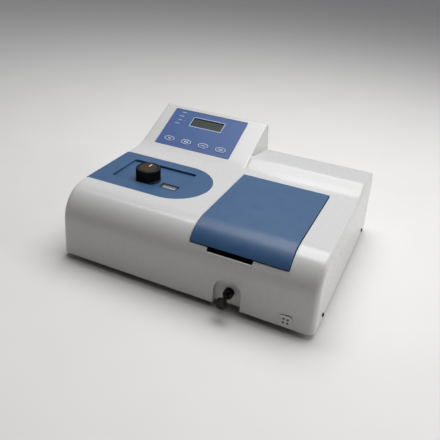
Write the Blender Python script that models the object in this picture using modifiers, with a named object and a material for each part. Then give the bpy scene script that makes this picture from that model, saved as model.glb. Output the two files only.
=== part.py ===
"""Bench spectrophotometer: cover, base, wavelength drive, monochromator, sample chamber and electronics.

All sizes are in millimetres in the machine's own frame: x runs from the left side, y from the front
face to the back, z up from the lower edge of the cover. The shape functions turn them into metres.
"""
import bpy
import bmesh
from math import acos, atan, cos, pi, radians, sin, sqrt, tan
from mathutils import Matrix, Vector

MM = 0.001
GAP = 0.3                    # between pieces that touch

# ---- cover ----
WIDTH = 460.0
DEPTH = 370.0
DECK_Z = 117.4
WALL = 3.0
FOOT_HEIGHT = 10.0
SIDE_DRAFT = 0.035           # inward lean of the side walls
FRONT_DRAFT = 0.042
BACK_DRAFT = 0.012
BACK_LEVEL = 104.0           # below this the back wall is one plane across both sides
FRONT_ROUND = 55.4           # big round between front wall and deck
FRONT_ROUND_Y = 58.0
FRONT_ROUND_Z = DECK_Z - FRONT_ROUND
FACE_FOOT_Y = 247.0          # where the sloping face leaves the deck
FACE_SLOPE = 0.476
FACE_ANGLE = atan(FACE_SLOPE)
FACE_FOOT_ROUND = 88.0
RIDGE_Y = 279.0
RIDGE_ROUND = 20.0
TOP_ROUND = 6.0              # crest of the console and back edge of the right part
CORNER_ROUND = 12.0          # upright corners, seen from above
EDGE_ROUND = 5.0             # along the top of the side walls
CONSOLE_RIGHT = 234.7
CONSOLE_FOOT = 236.7
CONSOLE_EDGE_ROUND = 4.0

# ---- sample lid, chamber and beam ----
LID_LEFT = 243.0
LID_RIGHT = 405.0
LID_THICK = 3.0
LID_PROUD = 1.2
LID_FRONT_ANGLE = radians(35.0)
HINGE_Y = 227.0
HINGE_Z = DECK_Z + LID_PROUD - 2.6
HINGE_RADIUS = 2.6
BEAM_Y = 112.0
BEAM_Z = 36.0
CUVETTE_PITCH = 20.0
CUVETTE_WELL = 12.8

# ---- pull rod ----
ROD_X = 317.5
ROD_Z = 23.4
ROD_RADIUS = 2.5
ROD_KNOB_FRONT = -27.0

# ---- wavelength drive ----
KNOB = (98.0, 129.0)
DIAL = (145.5, 177.0)
TOOTH_MODULE = 1.5
PINION_TEETH = 12
GEAR_TEETH = 78
GRATING = (123.5, 137.0)
LEVER_LENGTH = 40.0
CAM_TRAVEL = radians(150.0)  # dial turn each way from rest
LEVER_RATIO = 0.0857         # grating turn for each turn of the dial
PIN_RADIUS = 3.0

# ---- console ----
KEY_PITCH = 38.0
KEY_FIRST_X = 57.0
KEY_S = 33.6
LIGHT_X = 62.5
LIGHT_S = (78.0, 88.5, 99.5, 111.0)


for old in list(bpy.data.objects):
    bpy.data.objects.remove(old, do_unlink=True)

parts = bpy.data.collections.new("spectrophotometer")
cutters = bpy.data.collections.new("cutters")
for group in (parts, cutters):
    bpy.context.scene.collection.children.link(group)


# ------------------------------------------------------------------ materials
def paint(name, colour, roughness, metallic=0.0, alpha=1.0):
    made = bpy.data.materials.new(name)
    made.use_nodes = True
    shader = made.node_tree.nodes["Principled BSDF"]
    shader.inputs["Base Color"].default_value = (*colour, 1.0)
    shader.inputs["Roughness"].default_value = roughness
    shader.inputs["Metallic"].default_value = metallic
    shader.inputs["Alpha"].default_value = alpha
    made.diffuse_color = (*colour, 1.0)
    return made


SHELL_WHITE = paint("shell_white", (0.72, 0.71, 0.70), 0.25)
TRIM_BLUE = paint("trim_blue", (0.08, 0.17, 0.34), 0.35)
PANEL_BLUE = paint("panel_blue", (0.09, 0.19, 0.47), 0.4)
KNOB_BLACK = paint("knob_black", (0.015, 0.015, 0.015), 0.4)
RUBBER = paint("foot_rubber", (0.03, 0.03, 0.03), 0.8)
STEEL = paint("sheet_steel", (0.55, 0.56, 0.57), 0.4, 1.0)
CHROME = paint("rod_chrome", (0.8, 0.8, 0.82), 0.12, 1.0)
BLACK_METAL = paint("black_metal", (0.03, 0.03, 0.03), 0.5, 0.3)
CAST_ALLOY = paint("cast_alloy", (0.5, 0.5, 0.5), 0.5, 1.0)
BRASS = paint("gear_brass", (0.7, 0.5, 0.22), 0.35, 1.0)
DIAL_WHITE = paint("dial_white", (0.8, 0.8, 0.76), 0.5)
CLEAR = paint("clear_plastic", (0.9, 0.92, 0.92), 0.05, 0.0, 0.3)
MIRROR = paint("mirror_glass", (0.9, 0.9, 0.92), 0.02, 1.0)
LCD = paint("display_glass", (0.12, 0.13, 0.10), 0.15)
KEY_GREY = paint("key_grey", (0.45, 0.55, 0.75), 0.4)
BOARD = paint("board_green", (0.03, 0.2, 0.08), 0.5)
CERAMIC = paint("lamp_ceramic", (0.8, 0.78, 0.72), 0.6)


# ------------------------------------------------------------------ shape tools
def frame_empty(name, at, tilt=0.0, parent=None):
    empty = bpy.data.objects.new(name, None)
    parts.objects.link(empty)
    empty.parent = parent
    empty.location = Vector(at) * MM
    empty.rotation_euler.x = tilt
    return empty


MACHINE = frame_empty("machine_frame", (-WIDTH / 2, -(DEPTH + ROD_KNOB_FRONT) / 2, FOOT_HEIGHT))
CONSOLE = frame_empty("console_frame", (0, FACE_FOOT_Y, DECK_Z), FACE_ANGLE, MACHINE)

# columns are where a flat outline's own two directions and its thickness point
TURNS = {
    "X": Matrix(((0, 0, 1), (1, 0, 0), (0, 1, 0))).to_4x4(),
    "Y": Matrix(((1, 0, 0), (0, 0, -1), (0, 1, 0))).to_4x4(),
    "Z": Matrix.Identity(4),
}


def baked(data, modifier=None):
    """The evaluated mesh of a curve or of an edge outline with one modifier set up by a function."""
    helper = bpy.data.objects.new("helper", data)
    bpy.context.scene.collection.objects.link(helper)
    if modifier:
        modifier(helper)
    graph = bpy.context.evaluated_depsgraph_get()
    mesh = bpy.data.meshes.new_from_object(helper.evaluated_get(graph))
    bpy.data.objects.remove(helper)
    work = bmesh.new()
    work.from_mesh(mesh)
    bmesh.ops.remove_doubles(work, verts=work.verts, dist=0.000005)
    bmesh.ops.recalc_face_normals(work, faces=work.faces)
    work.to_mesh(mesh)
    work.free()
    return mesh


def block(low, high):
    work = bmesh.new()
    bmesh.ops.create_cube(work, size=1.0)
    low, high = Vector(low) * MM, Vector(high) * MM
    size = Matrix.Diagonal((*(high - low), 1.0))
    bmesh.ops.transform(work, matrix=Matrix.Translation((low + high) / 2) @ size, verts=work.verts)
    mesh = bpy.data.meshes.new("block")
    work.to_mesh(mesh)
    work.free()
    return mesh


def disc(centre, radius, start, end, axis, segments=24):
    """A cylinder along an axis; centre holds the two coordinates across it, in x, y, z order."""
    place = {"X": (0, *centre), "Y": (centre[0], 0, centre[1]), "Z": (*centre, 0)}[axis]
    along = Vector([float(letter == axis) for letter in "XYZ"])
    turn = along.to_track_quat("Z", "Y").to_matrix().to_4x4()
    middle = (Vector(place) + along * (start + end) / 2) * MM
    work = bmesh.new()
    bmesh.ops.create_cone(work, cap_ends=True, segments=segments, radius1=radius * MM,
                          radius2=radius * MM, depth=(end - start) * MM,
                          matrix=Matrix.Translation(middle) @ turn)
    mesh = bpy.data.meshes.new("disc")
    work.to_mesh(mesh)
    work.free()
    return mesh


def prism(outline, axis, start, end, holes=()):
    """A flat outline, with any holes, drawn across an axis and given its thickness along it."""
    curve = bpy.data.curves.new("outline", "CURVE")
    curve.dimensions = "2D"
    curve.fill_mode = "BOTH"
    curve.extrude = abs(end - start) / 2 * MM
    for loop in (outline, *holes):
        spline = curve.splines.new("POLY")
        spline.points.add(len(loop) - 1)
        for point, (u, v) in zip(spline.points, loop):
            point.co = (u * MM, v * MM, 0.0, 1.0)
        spline.use_cyclic_u = True
    mesh = baked(curve)
    middle = (start + end) / 2 * (-1 if axis == "Y" else 1)
    mesh.transform(TURNS[axis] @ Matrix.Translation((0, 0, middle * MM)))
    return mesh


def turned(profile, at, direction=(0, 0, 1), steps=24):
    """A turned shape: profile points (radius, height) run down its outer side, top to bottom."""
    outline = bpy.data.meshes.new("profile")
    points = [(radius * MM, 0, height * MM) for radius, height in profile]
    edges = [(i, i + 1) for i in range(len(points) - 1)]
    if profile[0][0] > 0:
        edges.append((len(points) - 1, 0))
    outline.from_pydata(points, edges, [])

    def screw(helper):
        lathe = helper.modifiers.new("lathe", "SCREW")
        lathe.steps = lathe.render_steps = steps
        lathe.use_merge_vertices = True
        lathe.merge_threshold = 0.00001

    mesh = baked(outline, screw)
    turn = Vector(direction).to_track_quat("Z", "Y").to_matrix().to_4x4()
    mesh.transform(Matrix.Translation(Vector(at) * MM) @ turn)
    return mesh


def joined(meshes):
    work = bmesh.new()
    for mesh in meshes:
        work.from_mesh(mesh)
    result = bpy.data.meshes.new("joined")
    work.to_mesh(result)
    work.free()
    return result


def piece(name, mesh, colour, pivot=(0, 0, 0), frame=MACHINE):
    """One named part; its origin is the pivot, which lies on its joint's axis if it moves."""
    mesh.name = name
    mesh.transform(Matrix.Translation(-Vector(pivot) * MM))
    mesh.materials.append(colour)
    mesh.shade_smooth()
    mesh.set_sharp_from_angle(angle=radians(35))
    made = bpy.data.objects.new(name, mesh)
    parts.objects.link(made)
    made.parent = frame
    made.location = Vector(pivot) * MM
    return made


def shape_with(target, label, mesh, operation, frame=MACHINE):
    tool = bpy.data.objects.new(f"{target.name}_{label}", mesh)
    cutters.objects.link(tool)
    tool.parent = frame
    tool.hide_render = True
    tool.display_type = "WIRE"
    boolean = target.modifiers.new(label, "BOOLEAN")
    boolean.operation = operation
    boolean.object = tool


def cut(target, label, mesh, frame=MACHINE):
    shape_with(target, label, mesh, "DIFFERENCE", frame)


def fuse(target, label, mesh, frame=MACHINE):
    shape_with(target, label, mesh, "UNION", frame)


def arc(centre, radius, start, end, steps, radius_v=None):
    """Points from one angle to another round a centre; radius_v makes it an ellipse."""
    tall = radius if radius_v is None else radius_v
    angles = [start + (end - start) * i / steps for i in range(steps + 1)]
    return [(centre[0] + radius * cos(a), centre[1] + tall * sin(a)) for a in angles]


def ring(centre, radius, steps=24, radius_v=None):
    return arc(centre, radius, 0, 2 * pi, steps, radius_v)[:-1]


def rectangle(left, bottom, right, top, corner=0.0, steps=4):
    if corner == 0.0:
        return [(left, bottom), (right, bottom), (right, top), (left, top)]
    middles = ((right - corner, top - corner), (left + corner, top - corner),
               (left + corner, bottom + corner), (right - corner, bottom + corner))
    points = []
    for quarter, middle in enumerate(middles):
        points += arc(middle, corner, quarter * pi / 2, (quarter + 1) * pi / 2, steps)
    return points


def plate(centre, half_u, half_v, corner=0.0, steps=4):
    """A rectangle about a centre, from its half width and half height."""
    u, v = centre
    return rectangle(u - half_u, v - half_v, u + half_u, v + half_v, corner, steps)


def rounded_corner(before, corner, after, radius, steps):
    """Points of the arc that rounds a corner between two straight stretches."""
    corner = Vector(corner)
    into = (Vector(before) - corner).normalized()
    out = (Vector(after) - corner).normalized()
    half = acos(max(-1.0, min(1.0, into.dot(out)))) / 2
    middle = corner + (into + out).normalized() * radius / sin(half)
    first = corner + into * radius / tan(half) - middle
    last = corner + out * radius / tan(half) - middle
    turn = first.angle_signed(last)
    points = []
    for i in range(steps + 1):
        angle = -turn * i / steps
        points.append((middle.x + first.x * cos(angle) - first.y * sin(angle),
                       middle.y + first.x * sin(angle) + first.y * cos(angle)))
    return points


def face_z(y):
    return DECK_Z + FACE_SLOPE * (y - FACE_FOOT_Y)


def on_front_round(angle, radius):
    """A point on a circle about the middle of the front round; 0 is level, a quarter turn is up."""
    return (FRONT_ROUND_Y - radius * cos(angle), FRONT_ROUND_Z + radius * sin(angle))


# ------------------------------------------------------------------ cover
def cover_profiles():
    """Front-to-back outlines of the console side and of the right side, point for point alike."""
    deck_corner = (FRONT_DRAFT * DECK_Z, DECK_Z)
    foot = (FACE_FOOT_Y, DECK_Z)
    back_foot = (DEPTH, 0.0)
    crest = (DEPTH - BACK_DRAFT * face_z(DEPTH), face_z(DEPTH))
    back_edge = (DEPTH - BACK_DRAFT * DECK_Z, DECK_Z)
    ridge = (RIDGE_Y, face_z(RIDGE_Y))
    shared = [(0.0, 0.0)]
    shared += rounded_corner((0.0, 0.0), deck_corner, foot, FRONT_ROUND, 9)
    shared += rounded_corner(deck_corner, foot, ridge, FACE_FOOT_ROUND, 4)
    ridge_arc = rounded_corner(foot, ridge, back_edge, RIDGE_ROUND, 4)
    right = shared + ridge_arc + rounded_corner(ridge, back_edge, back_foot, TOP_ROUND, 5)
    face = [(y, face_z(y)) for y, _ in ridge_arc]
    console = shared + face + rounded_corner(foot, crest, back_foot, TOP_ROUND, 5)
    below = [(DEPTH - BACK_DRAFT * BACK_LEVEL, BACK_LEVEL), back_foot]
    return console + below, right + below


def cover_stations():
    """Places along x with how far the outline is drawn in there, and whether it is the console's."""
    def drawn_in(distance, radius):
        if distance >= radius:
            return 0.0
        return radius - sqrt(radius ** 2 - (radius - distance) ** 2)

    ends = (0.0, 0.9, 2.2, 3.6, 5.0, 8.0, CORNER_ROUND)
    stations = []
    for t in ends:
        stations.append((t, drawn_in(t, CORNER_ROUND), drawn_in(t, EDGE_ROUND), True))
    for t in (4.0, 2.0, 0.8, 0.0):
        stations.append((CONSOLE_RIGHT - t, 0.0, drawn_in(t, CONSOLE_EDGE_ROUND), True))
    stations.append((CONSOLE_FOOT, 0.0, 0.0, False))
    for t in reversed(ends):
        stations.append((WIDTH - t, drawn_in(t, CORNER_ROUND), drawn_in(t, EDGE_ROUND), False))
    return stations


def cover_skin():
    """The open outer skin of the cover, lofted across x between unlike outlines."""
    console, right = cover_profiles()
    work = bmesh.new()
    rows = []
    for x, depth_in, top_in, is_console in cover_stations():
        at_end = x < CORNER_ROUND or x > WIDTH - CORNER_ROUND
        row = []
        for i, (y, z) in enumerate(console if is_console else right):
            around = range(max(i - 1, 0), min(i + 2, len(right)))
            line = [(console if is_console else right)[k] for k in around]
            along = Vector(line[-1]) - Vector(line[0])
            facing = Vector((-along.y, along.x)).normalized()
            drop = top_in
            if not at_end:
                drop = min(top_in, max(0.0, console[i][1] - right[i][1]))
            y_in = y - facing.x * (depth_in if y < FRONT_ROUND_Y else top_in)
            z_in = z - facing.y * drop if z > 0.0 else 0.0
            lean = 1.0 - SIDE_DRAFT * z_in / (WIDTH / 2)
            x_in = WIDTH / 2 + (x - WIDTH / 2) * lean
            row.append(work.verts.new((x_in * MM, y_in * MM, z_in * MM)))
        rows.append(row)
    for here, after in zip(rows, rows[1:]):
        for i in range(len(here) - 1):
            work.faces.new((here[i], after[i], after[i + 1], here[i + 1]))
    work.faces.new(rows[0])
    work.faces.new(list(reversed(rows[-1])))
    bmesh.ops.remove_doubles(work, verts=work.verts, dist=0.000005)
    skin = bpy.data.meshes.new("cover_skin")
    work.to_mesh(skin)
    work.free()
    return skin


BEZEL_Y = (74.2, 205.2)
BEZEL_ROUND = (BEZEL_Y[1] - BEZEL_Y[0]) / 2
BEZEL_MIDDLE = (148.5, (BEZEL_Y[0] + BEZEL_Y[1]) / 2)
BEZEL_UNDER = 110.3
ARCH_X = 316.3
ARCH_Z = 26.5
ARCH_RADIUS = 23.45
POCKET_BACK = 10.0
SCREW_Y = (47.0, 334.0)
SCREW_Z = 8.0


def bezel_outline(left, grow=0.0):
    straight = BEZEL_ROUND + grow
    return [(left, BEZEL_MIDDLE[1] + straight), (left, BEZEL_MIDDLE[1] - straight),
            *arc(BEZEL_MIDDLE, straight, -pi / 2, pi / 2, 20)]


def arch_outline(radius, bottom):
    return [(ARCH_X - radius, bottom), (ARCH_X + radius, bottom),
            *arc((ARCH_X, ARCH_Z), radius, 0, pi, 12)]


def make_cover():
    cover = piece("top_cover", cover_skin(), SHELL_WHITE)
    wall = cover.modifiers.new("wall", "SOLIDIFY")
    wall.thickness = WALL * MM
    wall.offset = -1.0
    fuse(cover, "rod_pocket", prism(arch_outline(ARCH_RADIUS + 2.5, 0.5), "Y", 2.6, POCKET_BACK + 2.5))
    cut(cover, "rod_arch", prism(arch_outline(ARCH_RADIUS, -5.0), "Y", -10.0, POCKET_BACK))
    cut(cover, "bushing_hole", disc((ROD_X, ROD_Z), 6.4, 5.0, 20.0, "Y"))
    cut(cover, "bezel_seat", prism(bezel_outline(-8.0, 0.4), "Z", BEZEL_UNDER - GAP, 130.0))
    lid_cut = [on_front_round(LID_FRONT_ANGLE - 0.02, 45.0), on_front_round(LID_FRONT_ANGLE - 0.02, 75.0),
               (-4.0, 140.0), (HINGE_Y + 3.4, 140.0), (HINGE_Y + 3.4, 105.0), (FRONT_ROUND_Y, 105.0)]
    cut(cover, "lid_opening", prism(lid_cut, "X", LID_LEFT - 0.8, LID_RIGHT + 1.2))
    notch = [on_front_round(a, r) for a, r in ((0.463, 45.0), (0.463, 75.0), (0.64, 75.0), (0.64, 45.0))]
    cut(cover, "finger_notch", prism(notch, "X", 274.0, 350.0))
    cut(cover, "pin_holes", disc((HINGE_Y, HINGE_Z), 1.2, LID_LEFT - 6.0, LID_RIGHT + 6.0, "X", 12))
    cut(cover, "panel_seat", prism(rectangle(31.6, 15.1, 195.4, 118.4), "Z", -1.3, 10.0), CONSOLE)
    windows = [prism(rectangle(80.0, 76.5, 152.0, 104.5), "Z", -9.0, 0.5),
               prism(rectangle(58.0, 74.0, 67.0, 114.0), "Z", -9.0, 0.5)]
    for i in range(4):
        x = KEY_FIRST_X + KEY_PITCH * i
        windows.append(prism(rectangle(x - 13.0, KEY_S - 8.0, x + 13.0, KEY_S + 8.0), "Z", -9.0, 0.5))
    cut(cover, "panel_windows", joined(windows), CONSOLE)
    cut(cover, "rear_window", block((20.0, 360.0, -5.0), (440.0, 380.0, 92.0)))
    screw_holes = [disc((y, SCREW_Z), 2.2, -5.0, 8.0, "X", 12) for y in SCREW_Y]
    screw_holes += [disc((y, SCREW_Z), 2.2, WIDTH - 8.0, WIDTH + 5.0, "X", 12) for y in SCREW_Y]
    cut(cover, "screw_holes", joined(screw_holes))


make_cover()


# ------------------------------------------------------------------ base, rear panel, feet
def make_base():
    tray = piece("base_plate", prism(rectangle(3.7, 3.9, WIDTH - 3.7, 364.8, 9.0), "Z", 0.5, 14.0), STEEL)
    cut(tray, "inside", prism(rectangle(5.7, 5.9, WIDTH - 5.7, 362.8, 7.0), "Z", 2.5, 20.0))
    cut(tray, "pocket_notch", block((286.0, 0.0, -2.0), (347.0, POCKET_BACK + 4.0, 20.0)))
    holes = [disc((y, SCREW_Z), 2.2, -5.0, 8.0, "X", 12) for y in SCREW_Y]
    holes += [disc((y, SCREW_Z), 2.2, WIDTH - 8.0, WIDTH + 5.0, "X", 12) for y in SCREW_Y]
    cut(tray, "screw_holes", joined(holes))


def make_feet():
    profile = [(0.0, 0.2), (8.0, 0.2), (9.5, -FOOT_HEIGHT + 1.0), (8.5, -FOOT_HEIGHT), (0.0, -FOOT_HEIGHT)]
    for across, x in (("left", 35.0), ("right", WIDTH - 35.0)):
        for along, y in (("front", 40.0), ("back", 330.0)):
            piece(f"foot_{along}_{across}", turned(profile, (x, y, 0.0), steps=20), RUBBER)


def make_side_screws():
    profile = [(0.0, 1.7), (2.6, 1.7), (3.6, 0.9), (3.6, 0.15), (1.8, 0.15), (1.8, -7.0), (0.0, -7.0)]
    for across, x, outward in (("left", 0.0, -1), ("right", WIDTH, 1)):
        for along, y in zip(("front", "back"), SCREW_Y):
            screw = turned(profile, (x, y, SCREW_Z), (outward, 0, 0), 12)
            piece(f"screw_{along}_{across}", screw, KNOB_BLACK)


def make_badge():
    outline = rectangle(404.5, 2.7, 424.5, 22.7, 5.0)
    piece("front_badge", prism(outline, "Y", -0.9, -0.2), SHELL_WHITE)


PANEL_Y = (365.8, 367.8)     # rear panel's thickness
REAR_Z = 38.0                # height of the row of fittings
INLET = (400.0, REAR_Z)
ROCKER = (352.0, REAR_Z)
PORT = (270.0, REAR_Z)
VENT_COUNT = 12
VENT_PITCH = 12.0
VENT_FIRST_X = 60.0
VENT_LOWS = (18.0, 52.0)
VENT_HEIGHT = 26.0
VENT_HALF = 2.0


def make_rear_panel():
    panel = piece("rear_panel", prism(rectangle(20.4, 2.8, 439.6, 91.6), "Y", *PANEL_Y), STEEL)
    outlines = [plate(INLET, 14.0, 10.5), plate(ROCKER, 9.8, 13.3), plate(PORT, 10.3, 5.6)]
    for i in range(VENT_COUNT):
        x = VENT_FIRST_X + VENT_PITCH * i
        outlines += [rectangle(x - VENT_HALF, low, x + VENT_HALF, low + VENT_HEIGHT) for low in VENT_LOWS]
    cut(panel, "openings", joined([prism(outline, "Y", 360.0, 375.0) for outline in outlines]))


def make_power_inlet():
    inlet = piece("power_inlet", prism(plate(INLET, 13.7, 10.2, 2.0), "Y", 345.0, 368.4), KNOB_BLACK)
    fuse(inlet, "flange", prism(plate(INLET, 24.0, 12.0, 5.0), "Y", 368.1, 369.4))
    cut(inlet, "well", prism(plate(INLET, 12.0, 8.2, 3.0), "Y", 351.0, 372.0))
    x, z = INLET
    middles = [(x + dx, z + dz) for dx, dz in ((-7.0, -2.0), (0.0, 2.0), (7.0, -2.0))]
    fuse(inlet, "pins", joined([prism(plate(middle, 1.0, 2.0), "Y", 345.5, 364.0) for middle in middles]))


def make_power_switch():
    bezel = prism(plate(ROCKER, 9.5, 13.0, 1.0, 2), "Y", 352.0, 368.2, [plate(ROCKER, 7.5, 11.0)])
    piece("switch_frame", bezel, KNOB_BLACK)
    x, z = ROCKER
    y = 362.0
    side = [(y - 6.0, z - 6.0), (y + 5.8, z - 9.4), (y + 4.0, z), (y + 7.6, z + 9.4), (y - 6.0, z + 6.0)]
    piece("power_rocker", prism(side, "X", x - 7.1, x + 7.1), KNOB_BLACK, (x, y, z))


def make_serial_port():
    port = piece("serial_port", prism(plate(PORT, 10.0, 5.3, 2.0, 3), "Y", 352.0, 369.6), STEEL)
    cut(port, "well", prism(plate(PORT, 8.6, 4.0, 1.6, 3), "Y", 364.0, 375.0))


make_base()
make_feet()
make_side_screws()
make_badge()
make_rear_panel()
make_power_inlet()
make_power_switch()
make_serial_port()


# ------------------------------------------------------------------ wavelength dial, knob and drive
TO_KNOB = Vector((KNOB[0] - DIAL[0], KNOB[1] - DIAL[1]))
KNOB_DIRECTION = Vector((1.0, 0.0)).angle_signed(TO_KNOB) * -1.0


def gear_outline(centre, teeth, phase):
    """Straight-sided teeth with play; one tooth points along the phase angle."""
    pitch_radius = TOOTH_MODULE * teeth / 2
    step = 2 * pi / teeth
    corners = ((-0.30, -1.10), (-0.12, 0.75), (0.12, 0.75), (0.30, -1.10))
    points = []
    for tooth in range(teeth):
        for share, height in corners:
            angle = phase + (tooth + share) * step
            radius = pitch_radius + height * TOOTH_MODULE
            points.append((centre[0] + radius * cos(angle), centre[1] + radius * sin(angle)))
    return points


def pin_place(dial_turn):
    """Middle of the lever's pin when the dial has turned this far from rest."""
    angle = pi / 2 + LEVER_RATIO * dial_turn
    return Vector((GRATING[0] + LEVER_LENGTH * cos(angle), GRATING[1] + LEVER_LENGTH * sin(angle)))


def cam_outline():
    """The path of the pin as the cam sees it, drawn in by the pin's radius and a gap."""
    steps = 40
    centre = Vector(DIAL)
    points = []
    for i in range(steps + 1):
        turn = CAM_TRAVEL * (2.0 * i / steps - 1.0)
        from_centre = pin_place(turn) - centre
        radius = from_centre.length - PIN_RADIUS - GAP - 0.3
        angle = Vector((1.0, 0.0)).angle_signed(from_centre) * -1.0 - turn
        points.append((centre.x + radius * cos(angle), centre.y + radius * sin(angle)))
    return points


def make_bezel():
    bezel = piece("dial_bezel", prism(bezel_outline(4.7), "Z", BEZEL_UNDER, 116.9), TRIM_BLUE)
    cut(bezel, "pocket", block((37.0, 104.0, 112.6), (168.0, 183.0, 125.0)))
    cut(bezel, "window_hole", block((128.0, 114.5, 100.0), (162.0, 129.5, 120.0)))
    cut(bezel, "bushing_hole", disc(KNOB, 5.4, 100.0, 120.0, "Z"))
    piece("dial_window", block((128.3, 114.8, 110.6), (161.7, 129.2, 112.0)), CLEAR)


def make_knob():
    axis = (*KNOB, 0.0)
    profile = [(0.0, 136.6), (19.0, 136.6), (21.2, 136.0), (22.1, 134.4), (22.1, 115.6), (22.6, 115.0),
               (22.6, 113.5), (3.3, 113.5), (3.3, 130.0), (0.0, 130.0)]
    piece("wavelength_knob", turned(profile, axis, steps=40), KNOB_BLACK, axis)
    shaft = piece("knob_shaft", disc(KNOB, 3.0, 77.0, 129.7, "Z", 16), STEEL, axis)
    teeth = gear_outline(KNOB, PINION_TEETH, KNOB_DIRECTION + pi + pi / PINION_TEETH)
    fuse(shaft, "pinion", prism(teeth, "Z", 90.0, 97.0))
    bush = [(5.1, 113.0), (5.1, 110.0), (9.0, 110.0), (9.0, 108.2), (3.3, 108.2), (3.3, 113.0)]
    piece("knob_bushing", turned(bush, axis), BRASS)


def make_dial():
    axis = (*DIAL, 0.0)
    teeth = gear_outline(DIAL, GEAR_TEETH, KNOB_DIRECTION)
    piece("dial_gear", prism(teeth, "Z", 91.0, 96.0, [ring(DIAL, 4.3)]), BRASS, axis)
    dial = prism(ring(DIAL, 63.5, 48), "Z", 105.9, 107.9, [ring(DIAL, 4.3)])
    piece("wavelength_dial", dial, DIAL_WHITE, axis)
    piece("dial_shaft", disc(DIAL, 4.0, 66.0, 109.6, "Z"), STEEL, axis)
    piece("wavelength_cam", prism(cam_outline(), "Z", 68.0, 72.0, [ring(DIAL, 4.3, 16)]), STEEL, axis)


def make_drive_bridge():
    outline = [(72.0, 65.3), (75.0, 65.3), (75.0, 80.0), (212.0, 80.0), (212.0, 65.3), (215.0, 65.3),
               (215.0, 83.0), (72.0, 83.0)]
    bridge = piece("drive_bridge", prism(outline, "Y", 112.0, 196.0), STEEL)
    holes = [disc(DIAL, 4.3, 70.0, 90.0, "Z"), disc(KNOB, 3.3, 70.0, 90.0, "Z", 16)]
    cut(bridge, "shaft_holes", joined(holes))


def make_grating():
    axis = (*GRATING, 0.0)
    piece("grating_shaft", disc(GRATING, 3.0, 12.0, 78.0, "Z", 16), STEEL, axis)
    pin = pin_place(0.0)
    half = 5.5
    outline = arc(GRATING, half, pi, 2 * pi, 8) + arc(pin, half, 0, pi, 8)
    lever = piece("grating_lever", prism(outline, "Z", 73.0, 76.0, [ring(GRATING, 3.3, 16)]), STEEL, axis)
    fuse(lever, "pin", disc(pin, PIN_RADIUS, 68.3, 74.5, "Z", 16))
    table = prism(ring(GRATING, 20.0), "Z", 20.0, 23.0, [ring(GRATING, 3.3, 16)])
    piece("grating_table", table, CAST_ALLOY, axis)
    x, y = GRATING
    piece("grating", block((x + 3.5, y - 15.0, 23.3), (x + 9.5, y + 15.0, 51.0)), MIRROR, axis)


make_bezel()
make_knob()
make_dial()
make_drive_bridge()
make_grating()


# ------------------------------------------------------------------ monochromator, lamp and detector
MONO = ((22.0, 70.0, 3.0), (236.0, 240.0, 62.0))
SOURCE_X = 200.0
COLLIMATOR_Y = 180.0


def make_monochromator():
    low, high = MONO
    box = piece("monochromator_box", block(low, high), CAST_ALLOY)
    cut(box, "inside", block((low[0] + 5, low[1] + 5, low[2] + 5), (high[0] - 5, high[1] - 5, high[2] + 5)))
    cut(box, "exit_hole", disc((BEAM_Y, BEAM_Z), 5.0, 225.0, 245.0, "X", 16))
    cut(box, "entrance_hole", disc((SOURCE_X, BEAM_Z), 5.0, 230.0, 250.0, "Y", 16))
    tube = [(10.0, 251.7), (10.0, 235.0), (7.0, 235.0), (7.0, 251.7)]
    fuse(box, "beam_tube", turned(tube, (0.0, BEAM_Y, BEAM_Z), (1, 0, 0)))
    lid = rectangle(low[0], low[1], high[0], high[1])
    piece("monochromator_cover", prism(lid, "Z", 62.3, 65.0, [ring(GRATING, 3.4, 16)]), CAST_ALLOY)


def make_optics():
    slits = (("entrance_slit", SOURCE_X, "Y", 233.2), ("exit_slit", BEAM_Y, "X", 229.2))
    for name, across, axis, start in slits:
        middle = (across, BEAM_Z)
        blade = prism(plate(middle, 15.0, 10.0), axis, start, start + 1.5, [plate(middle, 1.5, 6.0)])
        piece(name, blade, BLACK_METAL)
    dish = [(0.0, 6.6), (10.0, 7.2), (20.0, 8.6), (21.0, 8.0), (21.0, 0.0), (0.0, 0.0)]
    for name, y in (("collimating_mirror", COLLIMATOR_Y), ("focusing_mirror", BEAM_Y)):
        piece(name, turned(dish, (27.4, y, BEAM_Z), (1, 0, 0), 20), MIRROR)


def make_lamp():
    housing = piece("lamp_housing", block((150.0, 262.0, 3.0), (232.0, 345.0, 95.0)), BLACK_METAL)
    cut(housing, "inside", block((152.0, 264.0, 5.0), (230.0, 343.0, 100.0)))
    cut(housing, "light_hole", disc((SOURCE_X, BEAM_Z), 9.0, 255.0, 270.0, "Y"))
    piece("lamp_socket", block((SOURCE_X - 12.0, 288.0, 5.3), (SOURCE_X + 12.0, 312.0, 21.0)), CERAMIC)
    bulb = [(0.0, 50.0), (2.0, 49.4), (4.5, 46.5), (6.0, 42.5), (6.0, 28.0), (4.5, 25.0), (4.5, 21.3),
            (0.0, 21.3)]
    piece("halogen_lamp", turned(bulb, (SOURCE_X, 300.0, 0.0), steps=16), CLEAR)
    tube = [(13.0, 263.0), (13.0, 240.3), (11.3, 240.3), (11.3, 263.0)]
    fuse(housing, "lens_tube", turned(tube, (SOURCE_X, 0.0, BEAM_Z), (0, 1, 0)))
    lens = [(0.0, 256.0), (5.5, 255.0), (11.0, 252.0), (11.0, 250.0), (5.5, 247.0), (0.0, 246.0)]
    piece("condenser_lens", turned(lens, (SOURCE_X, 0.0, BEAM_Z), (0, 1, 0)), CLEAR)


def make_detector():
    housing = piece("detector_housing", block((398.0, 84.0, 3.0), (448.0, 140.0, 66.0)), CAST_ALLOY)
    cut(housing, "cell_bore", disc((BEAM_Y, BEAM_Z), 12.0, 390.0, 440.0, "X"))
    piece("photocell", disc((BEAM_Y, BEAM_Z), 11.5, 404.0, 436.0, "X"), DIAL_WHITE)


make_monochromator()
make_optics()
make_lamp()
make_detector()


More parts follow.
